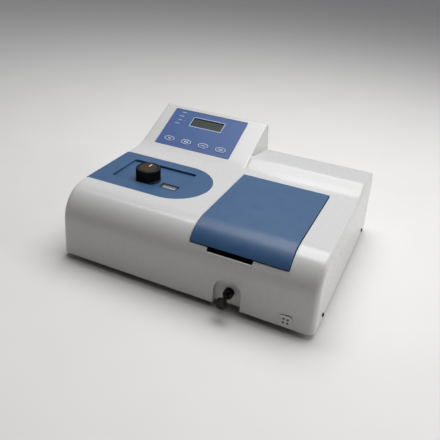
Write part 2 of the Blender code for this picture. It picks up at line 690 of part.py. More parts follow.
# ------------------------------------------------------------------ sample chamber, carriage and lid
CHAMBER_X = (252.0, 396.0)
CHAMBER_Y = (30.0, 222.0)
RAIL_X = (307.0, 328.0)
CARRIAGE_Y = (BEAM_Y - 16.0, BEAM_Y + 3 * CUVETTE_PITCH + 16.0)


def chamber_side(inset, below_skin):
    """The chamber's side view, its top following the underside of the lid."""
    front, back = CHAMBER_Y[0] + inset, CHAMBER_Y[1] - inset
    radius = FRONT_ROUND - below_skin
    first = acos((FRONT_ROUND_Y - front) / radius)
    curve = [on_front_round(first + (pi / 2 - first) * i / 5, radius) for i in range(6)]
    return [(back, 3.0 + inset), (back, DECK_Z - below_skin), *reversed(curve), (front, 3.0 + inset)]


def make_chamber():
    chamber = piece("sample_chamber", prism(chamber_side(0.0, 2.6), "X", *CHAMBER_X), BLACK_METAL)
    cut(chamber, "inside", prism(chamber_side(2.0, -10.0), "X", CHAMBER_X[0] + 2.0, CHAMBER_X[1] - 2.0))
    cut(chamber, "beam_holes", disc((BEAM_Y, BEAM_Z), 8.0, 240.0, 410.0, "X"))
    cut(chamber, "rod_hole", disc((ROD_X, ROD_Z), 3.2, 25.0, 40.0, "Y", 16))
    front, back = CHAMBER_Y[0] + 2.3, CHAMBER_Y[1] - 2.3
    rails = joined([disc((x, 12.7), 3.0, front, back, "Y", 16) for x in RAIL_X])
    slide = piece("carriage_rails", rails, CHROME)
    ties = [block((RAIL_X[0], y, 8.0), (RAIL_X[1], y + 6.0, 14.0)) for y in (front + 0.5, back - 6.5)]
    fuse(slide, "ties", joined(ties))


def make_carriage():
    pivot = (ROD_X, 0.0, ROD_Z)
    low, high = (300.0, CARRIAGE_Y[0], 16.0), (335.0, CARRIAGE_Y[1], 58.0)
    carriage = piece("cuvette_carriage", block(low, high), BLACK_METAL, pivot)
    half = CUVETTE_WELL / 2
    wells = []
    windows = []
    for i in range(4):
        y = BEAM_Y + CUVETTE_PITCH * i
        wells.append(block((ROD_X - half, y - half, 20.0), (ROD_X + half, y + half, 70.0)))
        windows.append(block((290.0, y - 4.0, BEAM_Z - 10.0), (345.0, y + 4.0, BEAM_Z + 10.0)))
    cut(carriage, "wells", joined(wells))
    cut(carriage, "windows", joined(windows))
    piece("pull_rod", disc((ROD_X, ROD_Z), ROD_RADIUS, -6.7, CARRIAGE_Y[0] - GAP, "Y", 16), CHROME, pivot)
    front = -ROD_KNOB_FRONT
    grip = [(0.0, front), (7.4, front), (8.5, front - 0.8), (8.8, front - 2.5), (8.8, 18.0), (7.0, 16.0),
            (4.0, 13.6), (4.0, 7.0), (0.0, 7.0)]
    piece("rod_knob", turned(grip, (ROD_X, 0.0, ROD_Z), (0, -1, 0)), KNOB_BLACK, pivot)
    bush = [(8.3, 0.0), (8.3, -9.7), (6.1, -9.7), (6.1, -15.0), (2.9, -15.0), (2.9, 0.0)]
    piece("rod_bushing", turned(bush, (ROD_X, 0.0, ROD_Z), (0, -1, 0)), KNOB_BLACK)


def make_lid():
    pivot = (ROD_X, HINGE_Y, HINGE_Z)
    outer = FRONT_ROUND + LID_PROUD
    inner = outer - LID_THICK
    steps = 10
    angles = [LID_FRONT_ANGLE + (pi / 2 - LID_FRONT_ANGLE) * i / steps for i in range(steps + 1)]
    side = [on_front_round(a, outer) for a in angles]
    side += [p for p in arc((HINGE_Y, HINGE_Z), HINGE_RADIUS, pi / 2, -pi + 0.15, 10)]
    side += [on_front_round(a, inner) for a in reversed(angles)]
    lid = piece("sample_lid", prism(side, "X", LID_LEFT, LID_RIGHT), TRIM_BLUE, pivot)
    cut(lid, "pin_hole", disc((HINGE_Y, HINGE_Z), 1.3, LID_LEFT - 3.0, LID_RIGHT + 3.0, "X", 12))
    pin = disc((HINGE_Y, HINGE_Z), 0.9, LID_LEFT - 5.5, LID_RIGHT + 5.5, "X", 12)
    piece("lid_hinge_pin", pin, STEEL)


make_chamber()
make_carriage()
make_lid()


# ------------------------------------------------------------------ console and electronics
def key_middle(number):
    return (KEY_FIRST_X + KEY_PITCH * number, KEY_S)


def make_console():
    holes = [rectangle(82.0, 78.7, 150.0, 102.2)]
    holes += [ring(key_middle(i), 12.3, 20, 7.3) for i in range(4)]
    holes += [ring((LIGHT_X, s), 1.7, 10) for s in LIGHT_S]
    sheet = prism(rectangle(32.0, 15.5, 195.0, 118.0, 2.0, 2), "Z", -1.0, 0.1, holes)
    piece("keypad_overlay", sheet, PANEL_BLUE, frame=CONSOLE)
    for i in range(4):
        middle = key_middle(i)
        outline = ring(middle, 12.0, 20, 7.0)
        piece(f"key_{i + 1}", prism(outline, "Z", -4.6, 0.7), KEY_GREY, (*middle, 0.0), CONSOLE)
    bar = block((LIGHT_X - 2.0, LIGHT_S[0] - 3.0, -10.1), (LIGHT_X + 2.0, LIGHT_S[-1] + 2.5, -7.0))
    lights = piece("indicator_lights", bar, CLEAR, frame=CONSOLE)
    fuse(lights, "domes", joined([disc((LIGHT_X, s), 1.4, -8.0, -0.2, "Z", 10) for s in LIGHT_S]), CONSOLE)
    piece("lcd_module", block((80.5, 77.0, -9.0), (151.5, 104.0, -1.4)), LCD, frame=CONSOLE)
    board = piece("display_board", block((40.0, 20.0, -12.0), (187.0, 116.0, -10.4)), BOARD, frame=CONSOLE)
    middles = [key_middle(i) for i in range(4)]
    switches = [block((x - 4.0, s - 4.0, -11.0), (x + 4.0, s + 4.0, -5.6)) for x, s in middles]
    fuse(board, "key_switches", joined(switches), CONSOLE)


def make_electronics():
    transformer = piece("transformer", block((300.0, 262.0, 8.0), (366.0, 318.0, 54.0)), STEEL)
    fuse(transformer, "winding", block((308.0, 250.0, 16.0), (358.0, 330.0, 46.0)))
    fuse(transformer, "foot", block((292.0, 268.0, 3.0), (374.0, 312.0, 9.0)))
    board = piece("main_board", block((384.0, 228.0, 12.0), (450.0, 340.0, 13.6)), BOARD)
    fitted = [block((392.0, 300.0, 13.0), (412.0, 326.0, 20.0))]
    fitted += [block((424.0, 250.0, 13.0), (442.0, 262.0, 34.0))]
    fitted += [disc((400.0, y), 7.0, 13.0, 36.0, "Z", 16) for y in (244.0, 262.0, 280.0)]
    fuse(board, "fitted_pieces", joined(fitted))


make_console()
make_electronics()
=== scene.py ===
import bpy
import bmesh
from math import acos, atan, cos, pi, radians, sin, sqrt, tan
from mathutils import Matrix, Vector
from mathutils.bvhtree import BVHTree


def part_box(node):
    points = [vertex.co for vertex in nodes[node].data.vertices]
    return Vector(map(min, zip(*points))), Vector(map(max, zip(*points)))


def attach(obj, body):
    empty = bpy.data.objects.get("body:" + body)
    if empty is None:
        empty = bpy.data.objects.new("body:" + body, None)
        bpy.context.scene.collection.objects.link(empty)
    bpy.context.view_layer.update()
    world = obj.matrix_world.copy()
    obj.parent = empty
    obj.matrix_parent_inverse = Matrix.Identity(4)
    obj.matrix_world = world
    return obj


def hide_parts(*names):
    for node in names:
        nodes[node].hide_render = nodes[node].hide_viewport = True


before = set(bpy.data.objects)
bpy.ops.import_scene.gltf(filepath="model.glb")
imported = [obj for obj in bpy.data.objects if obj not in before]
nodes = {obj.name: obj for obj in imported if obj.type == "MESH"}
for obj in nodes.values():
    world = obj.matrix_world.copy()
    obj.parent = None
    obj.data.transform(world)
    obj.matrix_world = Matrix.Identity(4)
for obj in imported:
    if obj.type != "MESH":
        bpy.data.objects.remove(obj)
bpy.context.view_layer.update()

# ------------------------------------------------------------------ cover
# The one-piece moulded shell: glossy off-white plastic, 3 mm thick, open below, with a big front round,
# a console at the left rear and a low ridge behind the lid. It is lofted across its width, cut for the
# panels and the lid, and held to the base by four side screws.
MM = 0.001
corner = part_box("top_cover")[0]                # left, front and lower edge of the shell
TO_WORLD = Matrix.Translation(corner)
WIDTH = (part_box("top_cover")[1].x - corner.x) / MM
DEPTH = (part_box("top_cover")[1].y - corner.y) / MM
DECK_Z = 117.4
FRONT_ROUND = 55.4
FRONT_MIDDLE = (58.0, DECK_Z - FRONT_ROUND)
FACE_FOOT_Y = 247.0
FACE_SLOPE = 0.476
FACE_TILT = Matrix.Rotation(atan(FACE_SLOPE), 4, "X")
WALL = 3.0
RIM_EDGE = 0.4
LID_GAP = {"left": 0.8, "right": 1.2, "back": 3.4}      # between the lid and its opening
LID_OPENING_FRONT = radians(33.85)                      # angles on the front round
NOTCH_LOW, NOTCH_HIGH = 0.463, 0.64
NOTCH_LEFT, NOTCH_RIGHT = 274.0, 350.0
KEY_MIDDLES = [(57.0 + 38.0 * i, 33.6) for i in range(4)]
CONSOLE_FRAME = TO_WORLD @ Matrix.Translation((0.0, FACE_FOOT_Y * MM, DECK_Z * MM)) @ FACE_TILT


def face_z(y):
    return DECK_Z + FACE_SLOPE * (y - FACE_FOOT_Y)


def in_machine(node):
    """Low and high corner of a CAD node in millimetres from the shell's own corner."""
    low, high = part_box(node)
    return (low - corner) / MM, (high - corner) / MM


def middle_of(node, across="x", up="y"):
    """The middle of a CAD node's box in one plane, in the same millimetres."""
    low, high = in_machine(node)
    return (getattr(low, across) + getattr(high, across)) / 2, (getattr(low, up) + getattr(high, up)) / 2


def arc(centre, radius, start, end, steps, radius_v=None):
    tall = radius if radius_v is None else radius_v
    angles = [start + (end - start) * i / steps for i in range(steps + 1)]
    return [(centre[0] + radius * cos(a), centre[1] + tall * sin(a)) for a in angles]


def ring(centre, radius, steps=48, radius_v=None):
    return arc(centre, radius, 0, 2 * pi, steps, radius_v)[:-1]


def rectangle(left, bottom, right, top, corner_radius=0.0, steps=6):
    if corner_radius == 0.0:
        return [(left, bottom), (right, bottom), (right, top), (left, top)]
    left_in, right_in = left + corner_radius, right - corner_radius
    bottom_in, top_in = bottom + corner_radius, top - corner_radius
    middles = ((right_in, top_in), (left_in, top_in), (left_in, bottom_in), (right_in, bottom_in))
    points = []
    for quarter, middle in enumerate(middles):
        points += arc(middle, corner_radius, quarter * pi / 2, (quarter + 1) * pi / 2, steps)
    return points


def about(middle, half_u, half_v, corner_radius=0.0, steps=6):
    """A rectangle given by its middle and its half sizes."""
    u, v = middle
    return rectangle(u - half_u, v - half_v, u + half_u, v + half_v, corner_radius, steps)


def rounded_corner(before, at, after, radius, steps):
    """Points of the arc that rounds a corner between two straight stretches."""
    at = Vector(at)
    into = (Vector(before) - at).normalized()
    out = (Vector(after) - at).normalized()
    half = acos(max(-1.0, min(1.0, into.dot(out)))) / 2
    middle = at + (into + out).normalized() * radius / sin(half)
    first = at + into * radius / tan(half) - middle
    last = at + out * radius / tan(half) - middle
    turn = first.angle_signed(last)
    angles = [-turn * i / steps for i in range(steps + 1)]
    return [(middle.x + first.x * cos(a) - first.y * sin(a), middle.y + first.x * sin(a) + first.y * cos(a))
            for a in angles]


# columns are where a flat outline's own two directions and its thickness point
TURNS = {
    "X": Matrix(((0, 0, 1), (1, 0, 0), (0, 1, 0))).to_4x4(),
    "Y": Matrix(((1, 0, 0), (0, 0, -1), (0, 1, 0))).to_4x4(),
    "Z": Matrix.Identity(4),
}


def finished(work, name):
    """The mesh of an edited shape, whose working copy is then freed."""
    mesh = bpy.data.meshes.new(name)
    work.to_mesh(mesh)
    work.free()
    return mesh


def baked(helper):
    """The evaluated mesh of a helper object, which is then removed."""
    bpy.context.scene.collection.objects.link(helper)
    graph = bpy.context.evaluated_depsgraph_get()
    mesh = bpy.data.meshes.new_from_object(helper.evaluated_get(graph))
    bpy.data.objects.remove(helper)
    work = bmesh.new()
    work.from_mesh(mesh)
    bmesh.ops.remove_doubles(work, verts=work.verts, dist=0.000002)
    bmesh.ops.recalc_face_normals(work, faces=work.faces)
    work.to_mesh(mesh)
    work.free()
    return mesh


def prism(outline, axis, start, end, holes=(), edge=0.0, place=TO_WORLD):
    """A flat outline with holes, thickened along an axis, its rims rounded by the edge radius."""
    curve = bpy.data.curves.new("outline", "CURVE")
    curve.dimensions = "2D"
    curve.fill_mode = "BOTH"
    curve.extrude = (abs(end - start) / 2 - edge) * MM
    curve.bevel_depth = edge * MM
    curve.bevel_resolution = 2
    curve.offset = -edge * MM
    for loop in (outline, *holes):
        spline = curve.splines.new("POLY")
        spline.points.add(len(loop) - 1)
        for point, (u, v) in zip(spline.points, loop):
            point.co = (u * MM, v * MM, 0.0, 1.0)
        spline.use_cyclic_u = True
    mesh = baked(bpy.data.objects.new("helper", curve))
    middle = (start + end) / 2 * (-1 if axis == "Y" else 1)
    mesh.transform(place @ TURNS[axis] @ Matrix.Translation((0, 0, middle * MM)))
    return mesh


def turn_toward(direction):
    """The turn that points an upright shape along a direction."""
    return Vector(direction).to_track_quat("Z", "Y").to_matrix().to_4x4()


def turned(profile, at, direction=(0, 0, 1), steps=48, place=TO_WORLD):
    """A turned shape: profile points (radius, height) run down its outer side, top to bottom."""
    outline = bpy.data.meshes.new("profile")
    points = [(radius * MM, 0, height * MM) for radius, height in profile]
    edges = [(i, i + 1) for i in range(len(points) - 1)]
    if profile[0][0] > 0:
        edges.append((len(points) - 1, 0))
    outline.from_pydata(points, edges, [])
    helper = bpy.data.objects.new("helper", outline)
    lathe = helper.modifiers.new("lathe", "SCREW")
    lathe.steps = lathe.render_steps = steps
    lathe.use_merge_vertices = True
    lathe.merge_threshold = 0.00001
    mesh = baked(helper)
    mesh.transform(place @ Matrix.Translation(Vector(at) * MM) @ turn_toward(direction))
    return mesh


def joined(meshes, slots=None):
    """Several meshes as one; slots gives each its material index."""
    work = bmesh.new()
    for number, mesh in enumerate(meshes):
        known = len(work.faces)
        work.from_mesh(mesh)
        work.faces.ensure_lookup_table()
        for face in work.faces[known:]:
            face.material_index = slots[number] if slots else 0
    return finished(work, "joined")


def piece(name, mesh, materials, body, stands_for, smooth=35.0):
    """One finished piece: it rides its body, takes the materials given and hides the CAD nodes it stands for.
    """
    mesh.name = name
    for material in materials:
        mesh.materials.append(material)
    mesh.shade_smooth()
    mesh.set_sharp_from_angle(angle=radians(smooth))
    made = bpy.data.objects.new(name, mesh)
    bpy.context.scene.collection.objects.link(made)
    evened = made.modifiers.new("evened", "WEIGHTED_NORMAL")
    evened.keep_sharp = True
    evened.weight = 80
    graph = bpy.context.evaluated_depsgraph_get()
    made.data = bpy.data.meshes.new_from_object(made.evaluated_get(graph))
    made.modifiers.clear()
    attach(made, body)
    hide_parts(*stands_for)


def node_in(tree, kind, inputs, **settings):
    """A new node; each input takes a value, or a link from another node's socket."""
    made = tree.nodes.new(kind)
    for setting, value in settings.items():
        setattr(made, setting, value)
    for name, value in inputs.items():
        if isinstance(value, bpy.types.NodeSocket):
            tree.links.new(value, made.inputs[name])
        else:
            made.inputs[name].default_value = value
    return made


def worked(tree, operation, *values):
    """What a math node makes of its values."""
    return node_in(tree, "ShaderNodeMath", dict(enumerate(values)), operation=operation).outputs[0]


def ranged(tree, value, low, high, start, end):
    """A value that runs from start to end while the one given runs from low to high."""
    inputs = {"Value": value, "From Min": low, "From Max": high, "To Min": start, "To Max": end}
    return node_in(tree, "ShaderNodeMapRange", inputs).outputs["Result"]


def ramped(tree, value, positions, colours):
    """A colour that runs from one colour to another between two values."""
    ramp = node_in(tree, "ShaderNodeValToRGB", {"Fac": value})
    for element, position, colour in zip(ramp.color_ramp.elements, positions, colours):
        element.position = position
        element.color = (*colour, 1.0)
    return ramp.outputs["Color"]


def surface(name, low, high, rough, grain=300.0, stretch=(1.0, 1.0, 1.0), relief=0.0001, metallic=0.0,
            coat=0.0, flecks=0.0, wear=0.35):
    """A material in object space: two noises drive its colour and roughness, the finer one its relief."""
    made = bpy.data.materials.new(name)
    made.use_nodes = True
    made.diffuse_color = (*high, 1.0)
    tree = made.node_tree
    place = tree.nodes.new("ShaderNodeTexCoord").outputs["Object"]
    mapping = node_in(tree, "ShaderNodeMapping", {"Vector": place, "Scale": stretch})
    noises = []
    for scale, detail in ((grain / 24.0, 4.0), (grain, 3.0), (grain * 5.0, 2.0)):
        inputs = {"Vector": mapping.outputs["Vector"], "Scale": scale, "Detail": detail}
        noises.append(node_in(tree, "ShaderNodeTexNoise", inputs).outputs["Fac"])
    broad, fine, dust = noises
    both = node_in(tree, "ShaderNodeMix", {"Factor": wear, "A": broad, "B": fine}, data_type="FLOAT")
    both = both.outputs["Result"]
    tint = ramped(tree, both, (0.34, 0.66), (low, high))
    speck = ranged(tree, dust, 0.66, 0.80, 0.0, flecks)
    dust_colour = (0.62, 0.60, 0.57, 1.0)
    dusted = node_in(tree, "ShaderNodeMix", {"Factor": speck, "A": tint, "B": dust_colour}, data_type="RGBA")
    bump = node_in(tree, "ShaderNodeBump", {"Height": fine, "Strength": 0.5, "Distance": relief})
    shader = tree.nodes["Principled BSDF"]
    tree.links.new(dusted.outputs["Result"], shader.inputs["Base Color"])
    tree.links.new(ranged(tree, both, 0.3, 0.7, *rough), shader.inputs["Roughness"])
    tree.links.new(bump.outputs["Normal"], shader.inputs["Normal"])
    shader.inputs["Metallic"].default_value = metallic
    shader.inputs["Coat Weight"].default_value = coat
    shader.inputs["Coat Roughness"].default_value = 0.12
    return made


shell_white = surface("shell_white", (0.602, 0.600, 0.600), (0.611, 0.609, 0.609), (0.27, 0.29), grain=380.0,
                      relief=0.000003, coat=0.35, wear=0.97)


def cover_profiles():
    """Front-to-back outlines of the console side and of the right side, point for point alike."""
    front_draft, back_draft, back_level = 0.042, 0.012, 104.0
    deck_corner = (front_draft * DECK_Z, DECK_Z)
    foot = (FACE_FOOT_Y, DECK_Z)
    back_foot = (DEPTH, 0.0)
    crest = (DEPTH - back_draft * face_z(DEPTH), face_z(DEPTH))
    back_edge = (DEPTH - back_draft * DECK_Z, DECK_Z)
    ridge = (279.0, face_z(279.0))
    shared = [(0.0, 0.0)]
    shared += rounded_corner((0.0, 0.0), deck_corner, foot, FRONT_ROUND, 26)
    shared += rounded_corner(deck_corner, foot, ridge, 88.0, 10)
    ridge_arc = rounded_corner(foot, ridge, back_edge, 20.0, 10)
    right = shared + ridge_arc + rounded_corner(ridge, back_edge, back_foot, 6.0, 10)
    face = [(y, face_z(y)) for y, _ in ridge_arc]
    console = shared + face + rounded_corner(foot, crest, back_foot, 6.0, 10)
    below = [(DEPTH - back_draft * back_level, back_level), back_foot]
    return console + below, right + below


def drawn_in(distance, radius):
    if distance >= radius:
        return 0.0
    return radius - sqrt(radius ** 2 - (radius - distance) ** 2)


def cover_stations():
    """Places along x, how far the outline is drawn in there, and whether it is the console's."""
    upright, edge, console_edge = 12.0, 5.0, 4.0
    ends = [edge * (1 - cos(i * pi / 14)) for i in range(8)] + [6.5, 9.0, upright]
    stations = [(t, drawn_in(t, upright), drawn_in(t, edge), True) for t in ends]
    for i in range(9):
        t = console_edge * (1 - cos((8 - i) * pi / 16))
        stations.append((234.7 - t, 0.0, drawn_in(t, console_edge), True))
    stations.append((236.7, 0.0, 0.0, False))
    for first, last, is_console in ((upright, 230.7, True), (236.7, WIDTH - upright, False)):
        between = round((last - first) / 7.0)
        stations += [(first + (last - first) * i / between, 0.0, 0.0, is_console) for i in range(1, between)]
    stations += [(WIDTH - t, drawn_in(t, upright), drawn_in(t, edge), False) for t in reversed(ends)]
    return sorted(stations)


def cover_skin():
    """The open outer skin of the shell, lofted across x between unlike outlines."""
    console, right = cover_profiles()
    side_draft, middle = 0.035, WIDTH / 2
    work = bmesh.new()
    rows = []
    for x, depth_in, top_in, is_console in cover_stations():
        at_end = x < 12.0 or x > WIDTH - 12.0
        line = console if is_console else right
        row = []
        for i, (y, z) in enumerate(line):
            along = Vector(line[min(i + 1, len(line) - 1)]) - Vector(line[max(i - 1, 0)])
            facing = Vector((-along.y, along.x)).normalized()
            drop = top_in
            if not at_end:
                drop = min(top_in, max(0.0, console[i][1] - right[i][1]))
            y_in = y - facing.x * (depth_in if y < FRONT_MIDDLE[0] else top_in)
            z_in = z - facing.y * drop if z > 0.0 else 0.0
            x_in = middle + (x - middle) * (1.0 - side_draft * z_in / middle)
            row.append(work.verts.new((x_in * MM, y_in * MM, z_in * MM)))
        rows.append(row)
    for here, after in zip(rows, rows[1:]):
        for i in range(len(here) - 1):
            work.faces.new((here[i], after[i], after[i + 1], here[i + 1]))
    work.faces.new(rows[0])
    work.faces.new(list(reversed(rows[-1])))
    bmesh.ops.remove_doubles(work, verts=work.verts, dist=0.000005)
    skin = finished(work, "cover_skin")
    skin.transform(TO_WORLD)
    return skin


def on_console(outline, low, high, holes=(), edge=0.0):
    """A flat piece that lies along the console's slope; heights are from its face."""
    return prism(outline, "Z", low, high, holes, edge, CONSOLE_FRAME)


def carved(body, cutters, added=()):
    """The body's mesh after some shapes are added to it and then others are cut away."""
    tools = []
    for operation, meshes in (("UNION", added), ("DIFFERENCE", cutters)):
        for mesh in meshes:
            tool = bpy.data.objects.new("tool", mesh)
            bpy.context.scene.collection.objects.link(tool)
            boolean = body.modifiers.new("cut", "BOOLEAN")
            boolean.operation = operation
            boolean.object = tool
            tools.append(tool)
    mesh = baked(body)
    for tool in tools:
        bpy.data.objects.remove(tool)
    return mesh


def on_front_round(angle, radius):
    """A point about the middle of the front round; 0 is level, a quarter turn is up."""
    return (FRONT_MIDDLE[0] - radius * cos(angle), FRONT_MIDDLE[1] + radius * sin(angle))


def bezel_outline(left, radius, middle_x, middle_y, steps=48):
    return [(left, middle_y + radius), (left, middle_y - radius),
            *arc((middle_x, middle_y), radius, -pi / 2, pi / 2, steps)]


def arch_outline(middle, radius, bottom):
    return [(middle[0] - radius, bottom), (middle[0] + radius, bottom), *arc(middle, radius, 0, pi, 36)]


shell = bpy.data.objects.new("shell_cut", cover_skin())
wall = shell.modifiers.new("wall", "SOLIDIFY")
wall.thickness = WALL * MM
wall.offset = -1.0
bezel_low, bezel_high = in_machine("dial_bezel")
bezel_radius = (bezel_high.y - bezel_low.y) / 2
bezel_middle = (bezel_high.x - bezel_radius, (bezel_low.y + bezel_high.y) / 2)
lid_low, lid_high = in_machine("sample_lid")
hinge = middle_of("lid_hinge_pin", "y", "z")
collar_low, collar_high = in_machine("rod_bushing")
rod_at = middle_of("rod_bushing", "x", "z")
arch_at = (rod_at[0] - 1.2, rod_at[1] + 3.1)
arch_wall = 2.5
arch_radius = 25.95
lid_cut_back = hinge[0] + LID_GAP["back"]
lid_cut = [on_front_round(LID_OPENING_FRONT, 45.0), on_front_round(LID_OPENING_FRONT, 75.0), (-4.0, 140.0),
           (lid_cut_back, 140.0), (lid_cut_back, 105.0), (FRONT_MIDDLE[0], 105.0)]
notch_ends = ((NOTCH_LOW, 45.0), (NOTCH_LOW, 75.0), (NOTCH_HIGH, 75.0), (NOTCH_HIGH, 45.0))
notch_side = [on_front_round(angle, radius) for angle, radius in notch_ends]
seat = bezel_outline(-8.0, bezel_radius + 0.4, *bezel_middle)
windows = [rectangle(80.0, 76.5, 152.0, 104.5), rectangle(58.0, 74.0, 67.0, 114.0)]
windows += [about(middle, 13.0, 8.0) for middle in KEY_MIDDLES]
screw_names = [name for name in nodes if name.startswith("screw_")]
screw_middles = [(*middle_of(name, "y", "z"), in_machine(name)[0].x < 0) for name in screw_names]
screw_holes = [prism(ring((y, z), 2.2, 24), "X", *((-5.0, 8.0) if left else (WIDTH - 8.0, WIDTH + 5.0)))
               for y, z, left in screw_middles]
arch_boss = prism(arch_outline(arch_at, arch_radius, 0.5), "Y", 2.6, 12.5)
cutters = [prism(arch_outline(arch_at, arch_radius - arch_wall, -5.0), "Y", -10.0, 10.0),
           prism(ring(rod_at, 6.4), "Y", 5.0, 20.0),
           prism(seat, "Z", bezel_low.z - 0.3, 130.0),
           prism(lid_cut, "X", lid_low.x - LID_GAP["left"], lid_high.x + LID_GAP["right"]),
           prism(notch_side, "X", NOTCH_LEFT, NOTCH_RIGHT),
           on_console(rectangle(31.6, 15.1, 195.4, 118.4, 2.4), -1.3, 10.0),
           joined([on_console(window, -9.0, 0.5) for window in windows]),
           prism(rectangle(20.0, -5.0, 440.0, 92.0), "Y", 360.0, 380.0),
           joined(screw_holes)]
shell_mesh = carved(shell, cutters, [arch_boss])
rims = bpy.data.objects.new("rims", shell_mesh)
shell_mesh.shade_smooth()
softened = rims.modifiers.new("rims", "BEVEL")
softened.width = RIM_EDGE * MM
softened.segments = 3
softened.limit_method = "ANGLE"
softened.angle_limit = radians(38.0)
softened.use_clamp_overlap = False
softened.miter_outer = "MITER_ARC"
evened = rims.modifiers.new("evened", "WEIGHTED_NORMAL")
evened.weight = 60
bpy.context.scene.collection.objects.link(rims)
cover_mesh = bpy.data.meshes.new_from_object(rims.evaluated_get(bpy.context.evaluated_depsgraph_get()))
bpy.data.objects.remove(rims)
corners = [vertex.co for vertex in shell_mesh.vertices]
unrounded = BVHTree.FromPolygons(corners, [polygon.vertices for polygon in shell_mesh.polygons])
for vertex in cover_mesh.vertices:
    near, _, _, distance = unrounded.find_nearest(vertex.co)
    if distance > RIM_EDGE * MM:
        vertex.co = near


def rim_path(bead, sunk):
    """The line of the rounded rim outside the lid opening and its finger notch, on the shell's surface."""
    def along(angle):
        return (angle - pi / 2) * FRONT_ROUND
    left, right = lid_low.x - LID_GAP["left"] - bead, lid_high.x + LID_GAP["right"] + bead
    notch_left, notch_right = NOTCH_LEFT - bead, NOTCH_RIGHT + bead
    back = hinge[0] + LID_GAP["back"] + bead - FRONT_MIDDLE[0]
    front, low = along(LID_OPENING_FRONT) - bead, along(NOTCH_LOW) - bead
    corners = [(left, back), (left, front), (notch_left, front), (notch_left, low), (notch_right, low),
               (notch_right, front), (right, front), (right, back)]
    flat = []
    for i, at in enumerate(corners):
        flat += rounded_corner(corners[i - 1], at, corners[(i + 1) % len(corners)], 2.6, 6)
    points = []
    for here, after in zip(flat, flat[1:] + flat[:1]):
        parts = max(1, int((Vector(after) - Vector(here)).length / 3.0))
        for i in range(parts):
            x, s = Vector(here).lerp(Vector(after), i / parts)
            y, z = (FRONT_MIDDLE[0] + s, DECK_Z - sunk)
            if s < 0.0:
                y, z = on_front_round(pi / 2 + s / FRONT_ROUND, FRONT_ROUND - sunk)
            points.append((x, y, z))
    return points


def wire(points, radius):
    """A round wire that closes on itself along a line of points."""
    curve = bpy.data.curves.new("wire", "CURVE")
    curve.dimensions = "3D"
    curve.bevel_depth = radius * MM
    curve.bevel_resolution = 6
    spline = curve.splines.new("POLY")
    spline.points.add(len(points) - 1)
    for point, at in zip(spline.points, points):
        point.co = (*(Vector(at) * MM), 1.0)
    spline.use_cyclic_u = True
    mesh = baked(bpy.data.objects.new("helper", curve))
    mesh.transform(TO_WORLD)
    return mesh


rim_radius, rim_depth = 1.5, 1.15
rim_mesh = wire(rim_path(rim_radius, rim_depth), rim_radius)
rim_mesh.shade_smooth()
cover_mesh = joined([cover_mesh, rim_mesh])
cover = bpy.data.objects.new("cover", cover_mesh)
cover_mesh.materials.append(shell_white)
bpy.context.scene.collection.objects.link(cover)
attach(cover, "chassis")
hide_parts("top_cover")


# ------------------------------------------------------------------ dial panel
# The satin blue inlay on the deck, round at its right end, with a shallow pocket for the knob and the
# scale window. A moulded plate 6.6 mm thick that drops into its seat in the shell.
trim_blue = surface("trim_blue", (0.034, 0.092, 0.200), (0.039, 0.102, 0.216), (0.34, 0.46), grain=1400.0,
                    relief=0.00004)
knob_low, knob_high = in_machine("wavelength_knob")
knob_at = middle_of("wavelength_knob")
pane_low, pane_high = in_machine("dial_window")
pocket_floor = pane_high.z + 0.6
pocket = rectangle(37.0, 104.0, 168.0, 183.0, 4.0)
window_hole = rectangle(pane_low.x - 0.3, pane_low.y - 0.3, pane_high.x + 0.3, pane_high.y + 0.3, 0.6, 3)
panel_outline = bezel_outline(bezel_low.x, bezel_radius, *bezel_middle)
upper = prism(panel_outline, "Z", pocket_floor - 0.4, bezel_high.z, [pocket], edge=0.7)
lower_outline = bezel_outline(bezel_low.x + 0.4, bezel_radius - 0.4, *bezel_middle)
lower = prism(lower_outline, "Z", bezel_low.z, pocket_floor, [window_hole, ring(knob_at, 5.4)], edge=0.15)
frame_outer = rectangle(pane_low.x - 3.0, pane_low.y - 3.0, pane_high.x + 3.0, pane_high.y + 3.0, 1.6)
window_rim = prism(frame_outer, "Z", pocket_floor - 0.2, pocket_floor + 0.5, [window_hole], edge=0.25)
piece("dial_panel", joined([upper, lower, window_rim]), [trim_blue], "chassis", ["dial_bezel"])


# ------------------------------------------------------------------ scale window
# A clear pane let into the pocket's floor over the wavelength scale, with a dark border painted round
# its edge as the shade inside the recessed window, so that only one patch of the scale shows.
clear_pane = surface("clear_pane", (0.86, 0.88, 0.88), (0.92, 0.94, 0.94), (0.03, 0.08), grain=200.0,
                     relief=0.00001)
tree = clear_pane.node_tree
shader = tree.nodes["Principled BSDF"]
place = tree.nodes["Texture Coordinate"].outputs["Object"]
apart = node_in(tree, "ShaderNodeSeparateXYZ", {"Vector": place})
pane_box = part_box("dial_window")
edges = []
for number, (axis, clear_share) in enumerate((("X", 0.80), ("Y", 0.66))):
    middle = (pane_box[0][number] + pane_box[1][number]) / 2
    half = (pane_box[1][number] - pane_box[0][number]) / 2
    share = worked(tree, "DIVIDE", worked(tree, "SUBTRACT", apart.outputs[axis], middle), half)
    edges.append(worked(tree, "GREATER_THAN", worked(tree, "ABSOLUTE", share), clear_share))
shade_share = worked(tree, "MAXIMUM", *edges)
plain = shader.inputs["Base Color"].links[0].from_socket
# painted shade: the dark border round the pane stands in for the shade inside the recessed window
painted_shade_ink = (0.012, 0.018, 0.026, 1.0)
blend = {"Factor": shade_share, "A": plain, "B": painted_shade_ink}
shaded = node_in(tree, "ShaderNodeMix", blend, data_type="RGBA")
tree.links.new(shaded.outputs["Result"], shader.inputs["Base Color"])
tree.links.new(ranged(tree, shade_share, 0.0, 1.0, 0.12, 1.0), shader.inputs["Alpha"])
pane_outline = rectangle(pane_low.x, pane_low.y, pane_high.x, pane_high.y, 0.5, 3)
pane = prism(pane_outline, "Z", pane_low.z, pane_high.z, edge=0.2)
piece("scale_window", pane, [clear_pane], "chassis", ["dial_window"])


